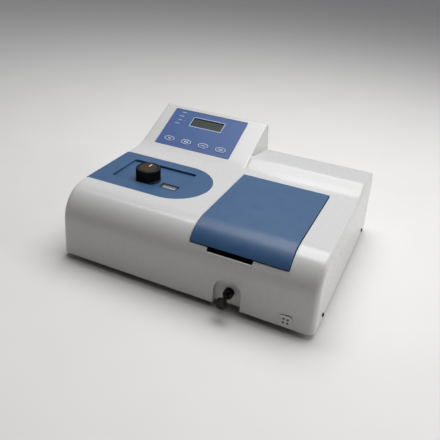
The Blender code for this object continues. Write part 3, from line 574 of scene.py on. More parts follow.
# ------------------------------------------------------------------ wavelength scale
# A white disc under the window with a ring of fine printed divisions, every fifth one longer. It is
# fixed on the dial shaft and turns with the gear below it.
dial_white = surface("dial_white", (0.86, 0.87, 0.84), (0.90, 0.91, 0.88), (0.45, 0.6), grain=500.0,
                     relief=0.00002)
scale_ink = surface("scale_ink", (0.010, 0.010, 0.012), (0.022, 0.022, 0.026), (0.5, 0.65), grain=900.0)
dial_low, dial_high = in_machine("wavelength_dial")
dial_at = middle_of("wavelength_dial")
dial_radius = (dial_high.x - dial_low.x) / 2


def copy_group(name, numbers):
    """A new node group that takes the numbers named, the object to copy and its material."""
    group = bpy.data.node_groups.new(name, "GeometryNodeTree")
    for socket, kind in (*numbers, ("Copy", "Object"), ("Material", "Material")):
        group.interface.new_socket(socket, in_out="INPUT", socket_type=f"NodeSocket{kind}")
    group.interface.new_socket("Geometry", in_out="OUTPUT", socket_type="NodeSocketGeometry")
    given = group.nodes.new("NodeGroupInput").outputs
    return group, given, group.nodes.new("GeometryNodeInputIndex").outputs["Index"]


def set_out(group, given, count, position, turn=(0.0, 0.0, 0.0)):
    """The copies put at their places, made real and given their material, which ends the group."""
    points = node_in(group, "GeometryNodePoints", {"Count": count, "Position": position}).outputs[0]
    copy = node_in(group, "GeometryNodeObjectInfo", {"Object": given["Copy"]}).outputs["Geometry"]
    put_there = {"Points": points, "Instance": copy, "Rotation": turn}
    put = node_in(group, "GeometryNodeInstanceOnPoints", put_there)
    real = node_in(group, "GeometryNodeRealizeInstances", {"Geometry": put.outputs["Instances"]})
    painted = {"Geometry": real.outputs["Geometry"], "Material": given["Material"]}
    paint = node_in(group, "GeometryNodeSetMaterial", painted)
    node_in(group, "NodeGroupOutput", {"Geometry": paint.outputs["Geometry"]})
    return group


def ring_group():
    """Copies of an object in a ring about the Z axis, each turned to face outward."""
    group, given, index = copy_group("ring_of_copies", (("Count", "Int"), ("Radius", "Float")))
    angle = worked(group, "MULTIPLY", index, worked(group, "DIVIDE", 2 * pi, given["Count"]))
    reach = {}
    for axis, operation in (("X", "COSINE"), ("Y", "SINE")):
        reach[axis] = worked(group, "MULTIPLY", worked(group, operation, angle), given["Radius"])
    place = node_in(group, "ShaderNodeCombineXYZ", reach).outputs["Vector"]
    turn = node_in(group, "ShaderNodeCombineXYZ", {"Z": angle}).outputs["Vector"]
    return set_out(group, given, given["Count"], place, turn)


def row_group():
    """Copies of an object in rows and columns in the XY plane, starting at the origin."""
    numbers = (("Columns", "Int"), ("Rows", "Int"), ("Across", "Float"), ("Up", "Float"))
    group, given, index = copy_group("rows_of_copies", numbers)
    column = worked(group, "MODULO", index, given["Columns"])
    row = worked(group, "FLOOR", worked(group, "DIVIDE", index, given["Columns"]))
    reach = {"X": worked(group, "MULTIPLY", column, given["Across"]),
             "Y": worked(group, "MULTIPLY", row, given["Up"])}
    place = node_in(group, "ShaderNodeCombineXYZ", reach).outputs["Vector"]
    return set_out(group, given, worked(group, "MULTIPLY", given["Columns"], given["Rows"]), place)


RING = ring_group()
ROWS = row_group()


def copies(group, mesh, place, **values):
    """The mesh that a node group makes of copies of one small mesh, moved to its place."""
    source = bpy.data.objects.new("copied", mesh)
    helper = bpy.data.objects.new("helper", bpy.data.meshes.new("empty"))
    made = helper.modifiers.new("copies", "NODES")
    made.node_group = group
    sockets = {item.name: item.identifier for item in group.interface.items_tree if item.in_out == "INPUT"}
    made[sockets["Copy"]] = source
    for name, value in values.items():
        made[sockets[name]] = value
    result = baked(helper)
    bpy.data.objects.remove(source)
    result.materials.clear()
    result.transform(place)
    return result


def at_machine(x, y, z, turn=Matrix.Identity(4)):
    return TO_WORLD @ Matrix.Translation(Vector((x, y, z)) * MM) @ turn


FLAT = Matrix.Identity(4)
disc_outline = ring(dial_at, dial_radius, 160)
disc_mesh = prism(disc_outline, "Z", dial_low.z, dial_high.z - 0.04, [ring(dial_at, 4.3)], edge=0.3)
short_mark = prism(rectangle(-1.6, -0.14, 1.6, 0.14), "Z", -0.02, 0.02, place=FLAT)
long_mark = prism(rectangle(-3.2, -0.2, 3.2, 0.2), "Z", -0.02, 0.02, place=FLAT)
on_dial = at_machine(*dial_at, dial_high.z - 0.03)
marks = [copies(RING, short_mark, on_dial, Count=240, Radius=57.2 * MM, Material=scale_ink),
         copies(RING, long_mark, on_dial, Count=48, Radius=55.6 * MM, Material=scale_ink)]
piece("wavelength_scale", joined([disc_mesh, *marks], [0, 1, 1]), [dial_white, scale_ink], "dial",
      ["wavelength_dial"])


# ------------------------------------------------------------------ wavelength knob
# A satin black knob with a fine ribbed grip, a plain skirt below it and a bronze disc let into its top,
# its brown a painted warm glint, with a white line on it as a painted highlight. Pressed on the knob shaft,
# whose pinion turns the dial gear.
knob_black = surface("knob_black", (0.0015, 0.0015, 0.0015), (0.005, 0.0045, 0.0045), (0.34, 0.48),
                     grain=700.0, relief=0.00003)
knob_black.node_tree.nodes["Principled BSDF"].inputs["Specular IOR Level"].default_value = 0.22
top, foot = knob_high.z, knob_low.z
skirt = (knob_high.x - knob_low.x) / 2
core = skirt - 1.1
grip_profile = [(0.0, top - 0.7), (11.3, top - 0.6), (18.2, top - 0.35), (19.0, top), (20.0, top - 0.1),
                (core - 0.5, top - 0.6), (core - 0.1, top - 1.6), (core, top - 3.0), (core, foot + 2.6),
                (core + 0.4, foot + 2.1), (skirt - 0.2, foot + 1.8), (skirt, foot + 1.3), (skirt, foot + 0.4),
                (skirt - 0.2, foot), (3.3, foot), (3.3, foot + 16.5), (0.0, foot + 16.5)]
grip = turned(grip_profile, (*knob_at, 0.0), steps=144)
rib_outline = [(-0.5, -0.42), (0.3, -0.34), (0.55, 0.0), (0.3, 0.34), (-0.5, 0.42)]
rib = prism(rib_outline, "Z", foot + 3.0, top - 1.9, place=FLAT)
ribs = copies(RING, rib, at_machine(*knob_at, 0.0), Count=84, Radius=core * MM, Material=knob_black)
# painted reflection: the brown of the top disc stands in for a warm glint on the knob's top
top_glint = surface("knob_top_glint", (0.085, 0.045, 0.028), (0.13, 0.07, 0.045), (0.28, 0.42), grain=2200.0,
                 relief=0.00003, metallic=0.9)
inlay_profile = [(0.0, top - 0.35), (14.9, top - 0.35), (15.5, top - 0.5), (15.5, top - 1.4),
                 (0.0, top - 1.4)]
inlay = turned(inlay_profile, (*knob_at, 0.0), steps=96)
# painted highlight: the white line on the top disc stands in for a small highlight
highlight_mark = prism(rectangle(-0.7, 3.0, 0.7, 13.6, 0.6, 4), "Z", top - 0.5, top - 0.15, edge=0.1,
                place=at_machine(*knob_at, 0.0))
knob_mesh = joined([grip, ribs, inlay, highlight_mark], [0, 0, 1, 2])
piece("ribbed_knob", knob_mesh, [knob_black, top_glint, dial_white], "knob", ["wavelength_knob"])


# ------------------------------------------------------------------ sample lid
# The satin blue lid that carries on the front round, hinged at its back edge, with a black light seal
# round the flat part of its underside.
lid_outer = lid_high.z - FRONT_MIDDLE[1]
lid_front = radians(35.0)
angles = [lid_front + (pi / 2 - lid_front) * i / 30 for i in range(31)]
lid_side = [on_front_round(a, lid_outer) for a in angles]
lid_side += arc(hinge, lid_high.z - hinge[1], pi / 2, -pi + 0.15, 24)
lid_side += [on_front_round(a, lid_outer - 3.0) for a in reversed(angles)]
lid_skin = prism(lid_side, "X", lid_low.x, lid_high.x, edge=0.8)
under = lid_high.z - 3.0
seal = prism(rectangle(266.0, 66.0, 382.0, 208.0, 6.0), "Z", under - 2.4, under + 0.2,
             [rectangle(272.0, 72.0, 376.0, 202.0, 4.0)], edge=0.8)
seal_black = surface("seal_black", (0.012, 0.012, 0.012), (0.030, 0.029, 0.028), (0.8, 0.95), grain=1800.0,
                     relief=0.00012)
piece("lid", joined([lid_skin, seal], [0, 1]), [trim_blue, seal_black], "lid", ["sample_lid"])


# ------------------------------------------------------------------ keypad overlay
# A matt blue printed membrane on the console's slope, with holes for the display, the four keys and the
# row of lights. A thin light line round the display is a painted highlight on the window's edge, and a short
# mark is printed beside each light.
panel_blue = surface("panel_blue", (0.030, 0.088, 0.266), (0.036, 0.100, 0.290), (0.42, 0.52), grain=1600.0,
                     relief=0.00003)
print_white = surface("print_white", (0.62, 0.66, 0.74), (0.72, 0.75, 0.80), (0.45, 0.6), grain=900.0)
light_s = (78.0, 88.5, 99.5, 111.0)
gaps = [rectangle(82.0, 78.7, 150.0, 102.2, 1.0, 3)]
gaps += [ring(middle, 12.3, 48, 7.3) for middle in KEY_MIDDLES]
gaps += [ring((62.5, s), 1.7, 20) for s in light_s]
membrane = on_console(rectangle(32.0, 15.5, 195.0, 118.0, 2.4), -1.0, 0.1, gaps, 0.12)
# painted highlight: the thin light line round the display stands in for light caught on the window's edge
highlight_line_inside = rectangle(81.2, 77.9, 150.8, 103.0, 1.2)
display_highlight_line = on_console(rectangle(80.2, 76.9, 151.8, 104.0, 1.8), 0.08, 0.13, [highlight_line_inside])
light_marks = [on_console(rectangle(48.0 + 2.0 * (i % 2), s - 0.5, 58.0, s + 0.5), 0.08, 0.13)
               for i, s in enumerate(light_s)]
piece("membrane", joined([membrane, display_highlight_line, *light_marks], [0, 1, 1, 1, 1, 1]), [panel_blue, print_white],
      "chassis", ["keypad_overlay"])


# ------------------------------------------------------------------ keys
# Four oval keys that stand a little proud of the membrane, each with a printed light ring and a small
# plain mark. They press against switches on the display board.
marks_by_key = (((-3.0, -1.0, 3.0, 1.0),), ((-4.0, -1.6, -1.0, 1.6), (1.0, -1.6, 4.0, 1.6)),
                ((-5.0, -0.5, 5.0, 0.5),), ((-4.5, 0.6, 4.5, 1.6), (-4.5, -1.6, 4.5, -0.6)))
for number, middle in enumerate(KEY_MIDDLES):
    cap = on_console(ring(middle, 12.0, 64, 7.0), -4.6, 0.7, edge=0.45)
    rim = on_console(ring(middle, 11.1, 64, 6.1), 0.66, 0.73, [ring(middle, 10.1, 64, 5.1)])
    at_u, at_v = middle
    outlines = [rectangle(at_u + left, at_v + low, at_u + right, at_v + high, 0.3, 2)
                for left, low, right, high in marks_by_key[number]]
    signs = [on_console(outline, 0.66, 0.73) for outline in outlines]
    piece(f"oval_key_{number + 1}", joined([cap, rim, *signs], [0, 1] + [1] * len(signs)),
          [panel_blue, print_white], f"key_{number + 1}", [f"key_{number + 1}"])


# ------------------------------------------------------------------ display
# A liquid-crystal module behind the membrane: a dark olive-grey glass in a black frame, switched off,
# with the faint blocks of its character cells.
display_black = surface("display_black", (0.010, 0.011, 0.011), (0.020, 0.021, 0.020), (0.25, 0.4),
                        grain=700.0)
display_glass = surface("display_glass", (0.050, 0.062, 0.052), (0.060, 0.074, 0.062), (0.10, 0.16),
                        grain=500.0, relief=0.00001, coat=0.5)
cell_tint = surface("cell_tint", (0.040, 0.050, 0.042), (0.048, 0.060, 0.050), (0.14, 0.2), grain=800.0)
module = on_console(rectangle(80.5, 77.0, 151.5, 104.0, 1.0, 3), -9.0, -2.0, edge=0.3)
glass = on_console(rectangle(83.5, 80.2, 148.5, 100.7, 0.6, 3), -2.2, -1.45, edge=0.15)
cell = prism(rectangle(0.0, 0.0, 5.2, 12.0), "Z", -0.02, 0.02, place=FLAT)
first_cell = CONSOLE_FRAME @ Matrix.Translation(Vector((88.0, 84.5, -1.43)) * MM)
cells = copies(ROWS, cell, first_cell, Columns=8, Rows=1, Across=7.3 * MM, Up=0.0, Material=cell_tint)
display_finishes = [display_black, display_glass, cell_tint]
piece("display", joined([module, glass, cells], [0, 1, 2]), display_finishes, "chassis", ["lcd_module"])


# ------------------------------------------------------------------ indicator lights
# Four small clear domes on one moulded bar under the membrane. They reach up into its holes and are lit
# from the display board.
light_clear = surface("light_clear", (0.55, 0.58, 0.58), (0.70, 0.72, 0.72), (0.12, 0.2), grain=600.0)
light_clear.node_tree.nodes["Principled BSDF"].inputs["Transmission Weight"].default_value = 0.5
bar = on_console(rectangle(60.5, light_s[0] - 3.0, 64.5, light_s[-1] + 2.5, 0.8, 3), -10.1, -7.0, edge=0.3)
dome = [(0.0, 0.05), (0.5, 0.0), (0.95, -0.2), (1.25, -0.5), (1.4, -1.0), (1.4, -8.0), (0.0, -8.0)]
domes = [turned(dome, (62.5, s, -0.25), steps=24, place=CONSOLE_FRAME) for s in light_s]
piece("lights", joined([bar, *domes]), [light_clear], "chassis", ["indicator_lights"])


# ------------------------------------------------------------------ pull rod, its knob and collar
# A bright plated rod with a black ribbed knob, running through a black collar in the arched pocket. The
# rod is fixed in the cuvette carriage and slides 60 mm out.
rod_chrome = surface("rod_chrome", (0.62, 0.62, 0.64), (0.76, 0.76, 0.78), (0.08, 0.2), grain=900.0,
                     stretch=(1.0, 0.08, 1.0), metallic=1.0)
TOWARD_FRONT = (0, -1, 0)
rod_middle = (rod_at[0], 0.0, rod_at[1])
rod_low, rod_high = in_machine("pull_rod")
grip_low, grip_high = in_machine("rod_knob")
radius = (rod_high.x - rod_low.x) / 2
rod_front, rod_back = -rod_low.y, -rod_high.y
rod_profile = [(0.0, rod_front), (radius - 0.3, rod_front), (radius, rod_front - 0.3), (radius, -14.0),
               (radius - 0.35, -14.2), (radius - 0.35, -15.2), (radius, -15.4), (radius, rod_back + 0.5),
               (radius - 0.5, rod_back), (0.0, rod_back)]
rod = turned(rod_profile, rod_middle, TOWARD_FRONT, 48)
piece("rod", rod, [rod_chrome], "carriage", ["pull_rod"])
grip_front = -grip_low.y
grip_radius = (grip_high.x - grip_low.x) / 2 - 0.4
rod_grip_profile = [(0.0, grip_front - 0.5), (grip_radius * 0.55, grip_front - 0.4),
                    (grip_radius * 0.78, grip_front), (grip_radius - 0.9, grip_front - 0.1),
                    (grip_radius - 0.3, grip_front - 0.7), (grip_radius, grip_front - 1.6),
                    (grip_radius, grip_front - 8.4), (grip_radius - 0.4, grip_front - 9.6),
                    (grip_radius - 1.8, grip_front - 10.8), (4.9, grip_front - 12.0),
                    (4.1, grip_front - 13.2), (4.0, grip_front - 14.6), (4.0, grip_front - 19.6),
                    (3.6, grip_front - 20.0), (0.0, grip_front - 20.0)]
rod_grip = turned(rod_grip_profile, rod_middle, TOWARD_FRONT, 96)
fine_rib = [(-0.4, -0.36), (0.22, -0.26), (0.4, 0.0), (0.22, 0.26), (-0.4, 0.36)]
rod_rib = prism(fine_rib, "Z", grip_front - 8.6, grip_front - 1.4, place=FLAT)
rod_ribs = copies(RING, rod_rib, at_machine(*rod_middle, turn_toward(TOWARD_FRONT)), Count=36,
                  Radius=grip_radius * MM, Material=knob_black)
piece("rod_grip", joined([rod_grip, rod_ribs]), [knob_black], "carriage", ["rod_knob"])
collar_radius = (collar_high.x - collar_low.x) / 2
collar_profile = [(collar_radius - 2.6, 0.0), (collar_radius - 0.8, 0.0), (collar_radius - 0.2, -0.4),
                  (collar_radius, -1.0), (collar_radius, -9.7), (6.1, -9.7), (6.1, -15.0), (2.9, -15.0),
                  (2.9, -2.4), (4.0, -0.8)]
collar = turned(collar_profile, rod_middle, TOWARD_FRONT, 72)
piece("rod_collar", collar, [knob_black], "chassis", ["rod_bushing"])


# ------------------------------------------------------------------ badge, side screws and feet
# A plain off-white badge with four dark dots low on the front, four black cross-head screws that hold
# the shell to the base, and four rubber feet with a hollow sole.
badge_low, badge_high = in_machine("front_badge")
badge_at = middle_of("front_badge", "x", "z")
tag_outline = rectangle(badge_low.x, badge_low.z, badge_high.x, badge_high.z, 5.0)
tag = prism(tag_outline, "Y", badge_low.y + 0.06, badge_high.y, edge=0.25)
dot = prism(ring((0.0, 0.0), 1.9, 32), "Z", -0.03, 0.03, place=FLAT)
UPRIGHT = Matrix.Rotation(pi / 2, 4, "X")
first_dot = at_machine(badge_at[0] - 3.4, badge_low.y + 0.05, badge_at[1] - 3.4, UPRIGHT)
dots = copies(ROWS, dot, first_dot, Columns=2, Rows=2, Across=6.8 * MM, Up=6.8 * MM, Material=scale_ink)
piece("badge", joined([tag, dots], [0, 1]), [shell_white, scale_ink], "chassis", ["front_badge"])

screw_profile = [(0.0, 1.7), (1.8, 1.7), (2.7, 1.5), (3.3, 1.1), (3.6, 0.6), (3.6, 0.15), (1.8, 0.15),
                 (1.8, -7.0), (0.0, -7.0)]
cross_bars = ((-2.1, -0.35, 2.1, 0.35), (-0.35, -2.1, 0.35, -0.36), (-0.35, 0.36, 0.35, 2.1))
screw_meshes = []
for y, z, left in screw_middles:
    side_x, outward = (0.0, (-1, 0, 0)) if left else (WIDTH, (1, 0, 0))
    head = bpy.data.objects.new("head", turned(screw_profile, (side_x, y, z), outward, 40))
    on_head = at_machine(side_x, y, z, turn_toward(outward))
    bars = [prism(rectangle(*bar), "Z", 0.9, 2.4, place=on_head) for bar in cross_bars]
    screw_meshes.append(carved(head, [joined(bars)]))
piece("side_screws", joined(screw_meshes), [knob_black], "chassis", screw_names)

rubber_black = surface("rubber_black", (0.014, 0.014, 0.014), (0.034, 0.033, 0.032), (0.72, 0.9),
                       grain=1200.0)
foot_meshes = []
foot_names = [name for name in nodes if name.startswith("foot_")]
for name in foot_names:
    sole, rise = [foot_corner.z for foot_corner in in_machine(name)]
    profile = [(0.0, rise), (8.0, rise), (8.3, rise - 0.6), (9.4, sole + 1.4), (9.5, sole + 0.8),
               (9.2, sole + 0.2), (8.6, sole), (5.0, sole), (4.4, sole + 0.5), (4.2, sole + 2.4),
               (0.0, sole + 2.4)]
    foot_meshes.append(turned(profile, (*middle_of(name), 0.0), steps=48))
piece("feet", joined(foot_meshes), [rubber_black], "chassis", foot_names)


# ------------------------------------------------------------------ rear panel
# A grey painted steel plate let into the back of the shell, with two rows of vent slots and openings
# for the mains inlet, the switch and the serial port.
panel_grey = surface("panel_grey", (0.30, 0.31, 0.32), (0.34, 0.35, 0.36), (0.45, 0.58), grain=1500.0,
                     relief=0.00006)
plate_low, plate_high = in_machine("rear_panel")
inlet_low, inlet_high = in_machine("power_inlet")
switch_low, switch_high = in_machine("switch_frame")
port_low, port_high = in_machine("serial_port")
inlet_at = middle_of("power_inlet", "x", "z")
switch_at = middle_of("switch_frame", "x", "z")
port_at = middle_of("serial_port", "x", "z")
plate_gaps = [about(inlet_at, 14.0, 10.5, 0.8), about(switch_at, 9.8, 13.3, 0.5),
              about(port_at, 10.3, 5.6, 1.5)]
plate_outline = rectangle(plate_low.x, plate_low.z, plate_high.x, plate_high.z, 1.5)
plate_mesh = prism(plate_outline, "Y", plate_low.y, plate_high.y, plate_gaps, edge=0.25)
plate = bpy.data.objects.new("plate", plate_mesh)
slit = prism(rectangle(-2.0, -13.0, 2.0, 13.0, 1.99, 8), "Z", -4.0, 4.0, place=FLAT)
slits = copies(ROWS, slit, at_machine(60.0, plate_high.y, 31.0, UPRIGHT), Columns=12, Rows=2,
               Across=12.0 * MM, Up=34.0 * MM, Material=panel_grey)
piece("back_plate", carved(plate, [slits]), [panel_grey], "chassis", ["rear_panel"])


# ------------------------------------------------------------------ mains inlet
# A black moulded socket with three plated flat pins in a deep well. Its flange rests on the outside of the
# back plate, which it passes through.
pin_plate = surface("pin_plate", (0.55, 0.54, 0.52), (0.70, 0.69, 0.67), (0.18, 0.3), grain=1100.0,
                    metallic=1.0)
well = about(inlet_at, 12.0, 8.2, 3.0)
body = prism(about(inlet_at, 13.7, 10.2, 2.0), "Y", inlet_low.y + 5.6, 368.3, [well], edge=0.2)
floor_plate = prism(about(inlet_at, 13.6, 10.1, 2.0), "Y", inlet_low.y, inlet_low.y + 6.0, edge=0.3)
flange = prism(about(inlet_at, 24.0, 12.0, 5.0), "Y", 368.1, inlet_high.y, [well], edge=0.4)
pin = prism(rectangle(-1.0, -2.0, 1.0, 2.0, 0.4, 3), "Z", -18.3, 0.0, edge=0.3, place=FLAT)
pins = []
for across, up, count in ((-7.0, -2.0, 2), (0.0, 2.0, 1)):
    first_pin = at_machine(inlet_at[0] + across, 345.5, inlet_at[1] + up, UPRIGHT)
    pins.append(copies(ROWS, pin, first_pin, Columns=count, Rows=1, Across=14.0 * MM, Up=0.0,
                       Material=pin_plate))
piece("mains_inlet", joined([body, floor_plate, flange, *pins], [0, 0, 0, 1, 1]), [knob_black, pin_plate],
      "chassis", ["power_inlet"])


# ------------------------------------------------------------------ mains switch
# A black rocker in a frame with a raised rim; the rocker's ends carry a bar and a ring, the usual marks
# for on and off. It tilts about a level axis across the frame.
frame_mesh = prism(about(switch_at, 9.5, 13.0, 1.0, 4), "Y", switch_low.y, switch_high.y,
                   [about(switch_at, 7.5, 11.0, 0.3, 3)], edge=0.25)
piece("rocker_frame", frame_mesh, [knob_black], "chassis", ["switch_frame"])
rocker_low, rocker_high = in_machine("power_rocker")
y, z = 362.0, switch_at[1]
side = [(y - 6.0, z - 6.0), (y + 5.8, z - 9.4), (y + 4.6, z - 4.4), (y + 4.0, z), (y + 5.6, z + 4.8),
        (y + 7.6, z + 9.4), (y - 6.0, z + 6.0)]
rocker = prism(side, "X", rocker_low.x, rocker_high.x, edge=0.35)
lower_turn = Matrix.Rotation(pi / 2 + 0.19, 4, "X")
upper_turn = Matrix.Rotation(pi / 2 - 0.37, 4, "X")
bar_mark = prism(rectangle(-0.5, -2.0, 0.5, 2.0), "Z", -0.03, 0.03,
                 place=at_machine(switch_at[0], y + 5.1, z - 6.4, lower_turn))
ring_mark = prism(ring((0.0, 0.0), 2.1, 32), "Z", -0.03, 0.03, [ring((0.0, 0.0), 1.4, 32)],
                  place=at_machine(switch_at[0], y + 6.25, z + 6.2, upper_turn))
piece("rocker", joined([rocker, bar_mark, ring_mark], [0, 1, 1]), [knob_black, print_white], "rocker",
      ["power_rocker"])


# ------------------------------------------------------------------ serial port
# A plated metal shell round a black insert with nine contact pins in two rows, fixed in its opening in
# the back plate.
shell_plate = surface("shell_plate", (0.48, 0.47, 0.45), (0.62, 0.61, 0.58), (0.24, 0.38), grain=800.0,
                      metallic=1.0)
port_well = about(port_at, 8.6, 4.0, 1.6)
rim_mesh = prism(about(port_at, 10.0, 5.3, 2.0), "Y", 364.2, port_high.y, [port_well], edge=0.25)
back_mesh = prism(about(port_at, 10.0, 5.3, 2.0), "Y", port_low.y, 364.4, edge=0.25)
insert = prism(about(port_at, 8.5, 3.9, 1.5), "Y", 364.0, 365.0, edge=0.15)
contact_profile = [(0.0, 4.2), (0.3, 4.1), (0.5, 3.7), (0.5, 0.0), (0.0, 0.0)]
contact = turned(contact_profile, (0.0, 0.0, 0.0), steps=16, place=FLAT)
TOWARD_BACK = Matrix.Rotation(-pi / 2, 4, "X")
contacts = []
for across, up, count in ((5.6, 1.4, 5), (4.2, -1.4, 4)):
    first_contact = at_machine(port_at[0] - across, 364.9, port_at[1] + up, TOWARD_BACK)
    contacts.append(copies(ROWS, contact, first_contact, Columns=count, Rows=1, Across=2.8 * MM, Up=0.0,
                           Material=pin_plate))
port_finishes = [shell_plate, knob_black, pin_plate]
piece("port", joined([rim_mesh, back_mesh, insert, *contacts], [0, 0, 1, 2, 2]), port_finishes, "chassis",
      ["serial_port"])


# ------------------------------------------------------------------ base tray
# The folded sheet-steel tray that closes the machine from below and carries everything inside it, with
# softened folds and a fine rolled grain.
sheet_steel = surface("sheet_steel", (0.34, 0.35, 0.36), (0.46, 0.47, 0.48), (0.34, 0.5), grain=260.0,
                      stretch=(1.0, 0.06, 1.0), metallic=1.0, relief=0.00002)


def softened_copy(name, node, material, body, width=0.5):
    """A CAD node as one clean mesh with its flat faces whole and its edges rounded."""
    work = bmesh.new()
    work.from_mesh(nodes[node].data)
    bmesh.ops.remove_doubles(work, verts=work.verts, dist=0.00001)
    bmesh.ops.dissolve_limit(work, angle_limit=radians(0.8), verts=work.verts, edges=work.edges)
    bmesh.ops.recalc_face_normals(work, faces=work.faces)
    mesh = finished(work, name)
    mesh.shade_smooth()
    helper = bpy.data.objects.new("helper", mesh)
    rounded = helper.modifiers.new("rounded", "BEVEL")
    rounded.width = width * MM
    rounded.segments = 2
    rounded.limit_method = "ANGLE"
    rounded.angle_limit = radians(50.0)
    rounded.use_clamp_overlap = True
    piece(name, baked(helper), [material], body, [node], 40.0)


softened_copy("base_tray", "base_plate", sheet_steel, "chassis", 0.6)


# ------------------------------------------------------------------ sample chamber and carriage
# A black box open under the lid, two plated rails along its floor, and a black carriage with four square
# cuvette wells that slides on them, drawn by the pull rod.
chamber_black = surface("chamber_black", (0.008, 0.008, 0.008), (0.020, 0.019, 0.018), (0.55, 0.72),
                        grain=1500.0, relief=0.00006, flecks=0.04)
carriage_black = surface("carriage_black", (0.010, 0.010, 0.011), (0.024, 0.023, 0.022), (0.34, 0.48),
                         grain=900.0, stretch=(1.0, 0.1, 1.0), metallic=0.4, relief=0.00003)
softened_copy("chamber", "sample_chamber", chamber_black, "chassis", 0.5)
softened_copy("carriage_block", "cuvette_carriage", carriage_black, "carriage", 0.5)
softened_copy("rails", "carriage_rails", rod_chrome, "chassis", 0.3)
softened_copy("hinge_pin", "lid_hinge_pin", rod_chrome, "chassis", 0.1)


# ------------------------------------------------------------------ wavelength drive
# Brass dial gear and knob bearing, steel shafts with the pinion, the cam, the lever that turns the
# grating and the bridge that holds the shafts over the monochromator.
gear_brass = surface("gear_brass", (0.42, 0.27, 0.09), (0.56, 0.38, 0.15), (0.26, 0.42), grain=700.0,
                     metallic=1.0, relief=0.00003)
turned_steel = surface("turned_steel", (0.42, 0.43, 0.44), (0.58, 0.58, 0.59), (0.2, 0.34), grain=900.0,
                       stretch=(1.0, 1.0, 0.08), metallic=1.0, relief=0.00002)
softened_copy("gear", "dial_gear", gear_brass, "dial", 0.15)
softened_copy("knob_bearing", "knob_bushing", gear_brass, "chassis", 0.2)
softened_copy("shaft_of_dial", "dial_shaft", turned_steel, "dial", 0.3)
softened_copy("cam", "wavelength_cam", turned_steel, "dial", 0.2)
softened_copy("shaft_of_knob", "knob_shaft", turned_steel, "knob", 0.15)
softened_copy("bridge", "drive_bridge", sheet_steel, "chassis", 0.5)
softened_copy("lever", "grating_lever", turned_steel, "grating_mount", 0.3)
softened_copy("shaft_of_grating", "grating_shaft", turned_steel, "grating_mount", 0.3)


# ------------------------------------------------------------------ monochromator and optics
# A cast alloy box with its lid, two dished mirrors, the ruled grating on its turning table and the two
# slit blades.
cast_alloy = surface("cast_alloy", (0.24, 0.24, 0.25), (0.34, 0.34, 0.35), (0.5, 0.66), grain=600.0,
                     metallic=0.85, relief=0.00012)
slit_black = surface("slit_black", (0.010, 0.010, 0.010), (0.022, 0.021, 0.020), (0.45, 0.6), grain=1400.0,
                     metallic=0.3)
mirror_coat = surface("mirror_coat", (0.80, 0.80, 0.82), (0.88, 0.88, 0.90), (0.02, 0.05), grain=300.0,
                      metallic=1.0, relief=0.000003)
ruled = surface("ruled_glass", (0.55, 0.62, 0.66), (0.80, 0.72, 0.62), (0.05, 0.14), grain=600.0,
                stretch=(8.0, 8.0, 0.05), metallic=1.0, relief=0.000006)
softened_copy("mono_box", "monochromator_box", cast_alloy, "chassis", 0.8)
softened_copy("mono_lid", "monochromator_cover", cast_alloy, "chassis", 0.5)
softened_copy("slit_in", "entrance_slit", slit_black, "chassis", 0.15)
softened_copy("slit_out", "exit_slit", slit_black, "chassis", 0.15)
softened_copy("collimator", "collimating_mirror", mirror_coat, "chassis", 0.3)
softened_copy("focuser", "focusing_mirror", mirror_coat, "chassis", 0.3)
softened_copy("grating_block", "grating", ruled, "grating_mount", 0.3)
softened_copy("turntable", "grating_table", cast_alloy, "grating_mount", 0.4)


# ------------------------------------------------------------------ lamp and detector
# A black lamp box open at its top with a ceramic lamp holder, a small clear lamp and a condenser lens in
# its tube, and at the far side of the chamber the cast detector housing with its photocell.
lamp_ceramic = surface("lamp_ceramic", (0.66, 0.64, 0.58), (0.76, 0.74, 0.68), (0.55, 0.7), grain=700.0,
                       relief=0.00008)
lamp_clear = surface("lamp_clear", (0.88, 0.90, 0.90), (0.94, 0.95, 0.95), (0.02, 0.06), grain=400.0)
lamp_clear.node_tree.nodes["Principled BSDF"].inputs["Transmission Weight"].default_value = 0.9
softened_copy("lamp_box", "lamp_housing", chamber_black, "chassis", 0.5)
softened_copy("lamp_holder", "lamp_socket", lamp_ceramic, "chassis", 0.6)
softened_copy("lamp", "halogen_lamp", lamp_clear, "chassis", 0.2)
softened_copy("condenser", "condenser_lens", lamp_clear, "chassis", 0.2)
softened_copy("detector_box", "detector_housing", cast_alloy, "chassis", 0.8)
softened_copy("cell", "photocell", dial_white, "chassis", 0.4)


# ------------------------------------------------------------------ electronics
# The display board under the console, the main board at the rear right with its fitted pieces and the
# mains transformer beside it.
board_green = surface("board_green", (0.012, 0.095, 0.038), (0.022, 0.150, 0.060), (0.35, 0.5), grain=420.0,
                      stretch=(1.0, 4.0, 1.0), relief=0.00005, flecks=0.5)
core_steel = surface("core_steel", (0.16, 0.15, 0.14), (0.26, 0.25, 0.24), (0.4, 0.6), grain=500.0,
                     stretch=(0.05, 0.05, 10.0), metallic=0.9, relief=0.00008)
softened_copy("console_board", "display_board", board_green, "chassis", 0.2)
softened_copy("control_board", "main_board", board_green, "chassis", 0.3)
softened_copy("mains_transformer", "transformer", core_steel, "chassis", 0.8)


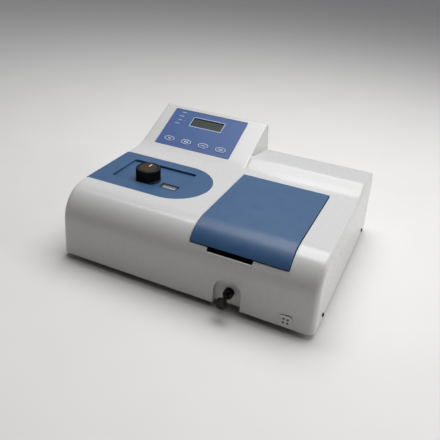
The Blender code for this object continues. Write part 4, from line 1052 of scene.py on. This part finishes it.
# ------------------------------------------------------------------ floor, light and view
# A plain pale floor, a soft panel overhead, another at the right and a narrow strip above the left side,
# in a dim room that is darker toward the front.
work = bmesh.new()
bmesh.ops.create_grid(work, x_segments=1, y_segments=1, size=6.0)
floor_mesh = finished(work, "floor")
floor = bpy.data.objects.new("floor", floor_mesh)
floor_pale = surface("floor_pale", (0.74, 0.73, 0.72), (0.78, 0.77, 0.76), (0.6, 0.7), grain=8.0)
floor_mesh.materials.append(floor_pale)
bpy.context.scene.collection.objects.link(floor)

world = bpy.data.worlds.new("studio")
world.use_nodes = True
sky = world.node_tree
facing = sky.nodes.new("ShaderNodeTexCoord").outputs["Generated"]
toward_back = node_in(sky, "ShaderNodeSeparateXYZ", {"Vector": facing}).outputs["Y"]
shade = ramped(sky, ranged(sky, toward_back, -1.0, 1.0, 0.0, 1.0), (0.30, 0.75),
               ((0.05, 0.045, 0.042), (0.34, 0.35, 0.37)))
sky.links.new(shade, sky.nodes["Background"].inputs["Color"])
bpy.context.scene.world = world

lamps = (("overhead", (0.15, 0.42, 1.6), (1.5, 1.3), 25.0, (1.0, 1.0, 0.99)),
         ("right", (1.7, 0.35, 0.85), (0.9, 0.9), 8.5, (1.0, 0.99, 0.98)),
         ("strip", (-0.45, 0.10, 1.5), (1.3, 0.07), 2.2, (1.0, 1.0, 1.0)))
for name, place, size, power, colour in lamps:
    lamp = bpy.data.lights.new(name, "AREA")
    lamp.shape = "RECTANGLE"
    lamp.size, lamp.size_y = size
    lamp.energy = power
    lamp.color = colour
    lamp_object = bpy.data.objects.new(name, lamp)
    lamp_object.location = place
    aim = -Vector(place) if name != "strip" else Vector((0.0, -0.05, -1.0))
    lamp_object.rotation_euler = aim.to_track_quat("-Z", "Y").to_euler()
    bpy.context.scene.collection.objects.link(lamp_object)

camera_data = bpy.data.cameras.new("camera")
camera_data.lens = 43.105
camera_data.sensor_width = 36.0
camera = bpy.data.objects.new("camera", camera_data)
camera.location = (0.3214, -0.7714, 0.5487)
camera.rotation_euler = (radians(59.351), radians(-3.269), radians(24.890))
bpy.context.scene.collection.objects.link(camera)
bpy.context.scene.camera = camera
bpy.context.scene.view_settings.view_transform = "Standard"
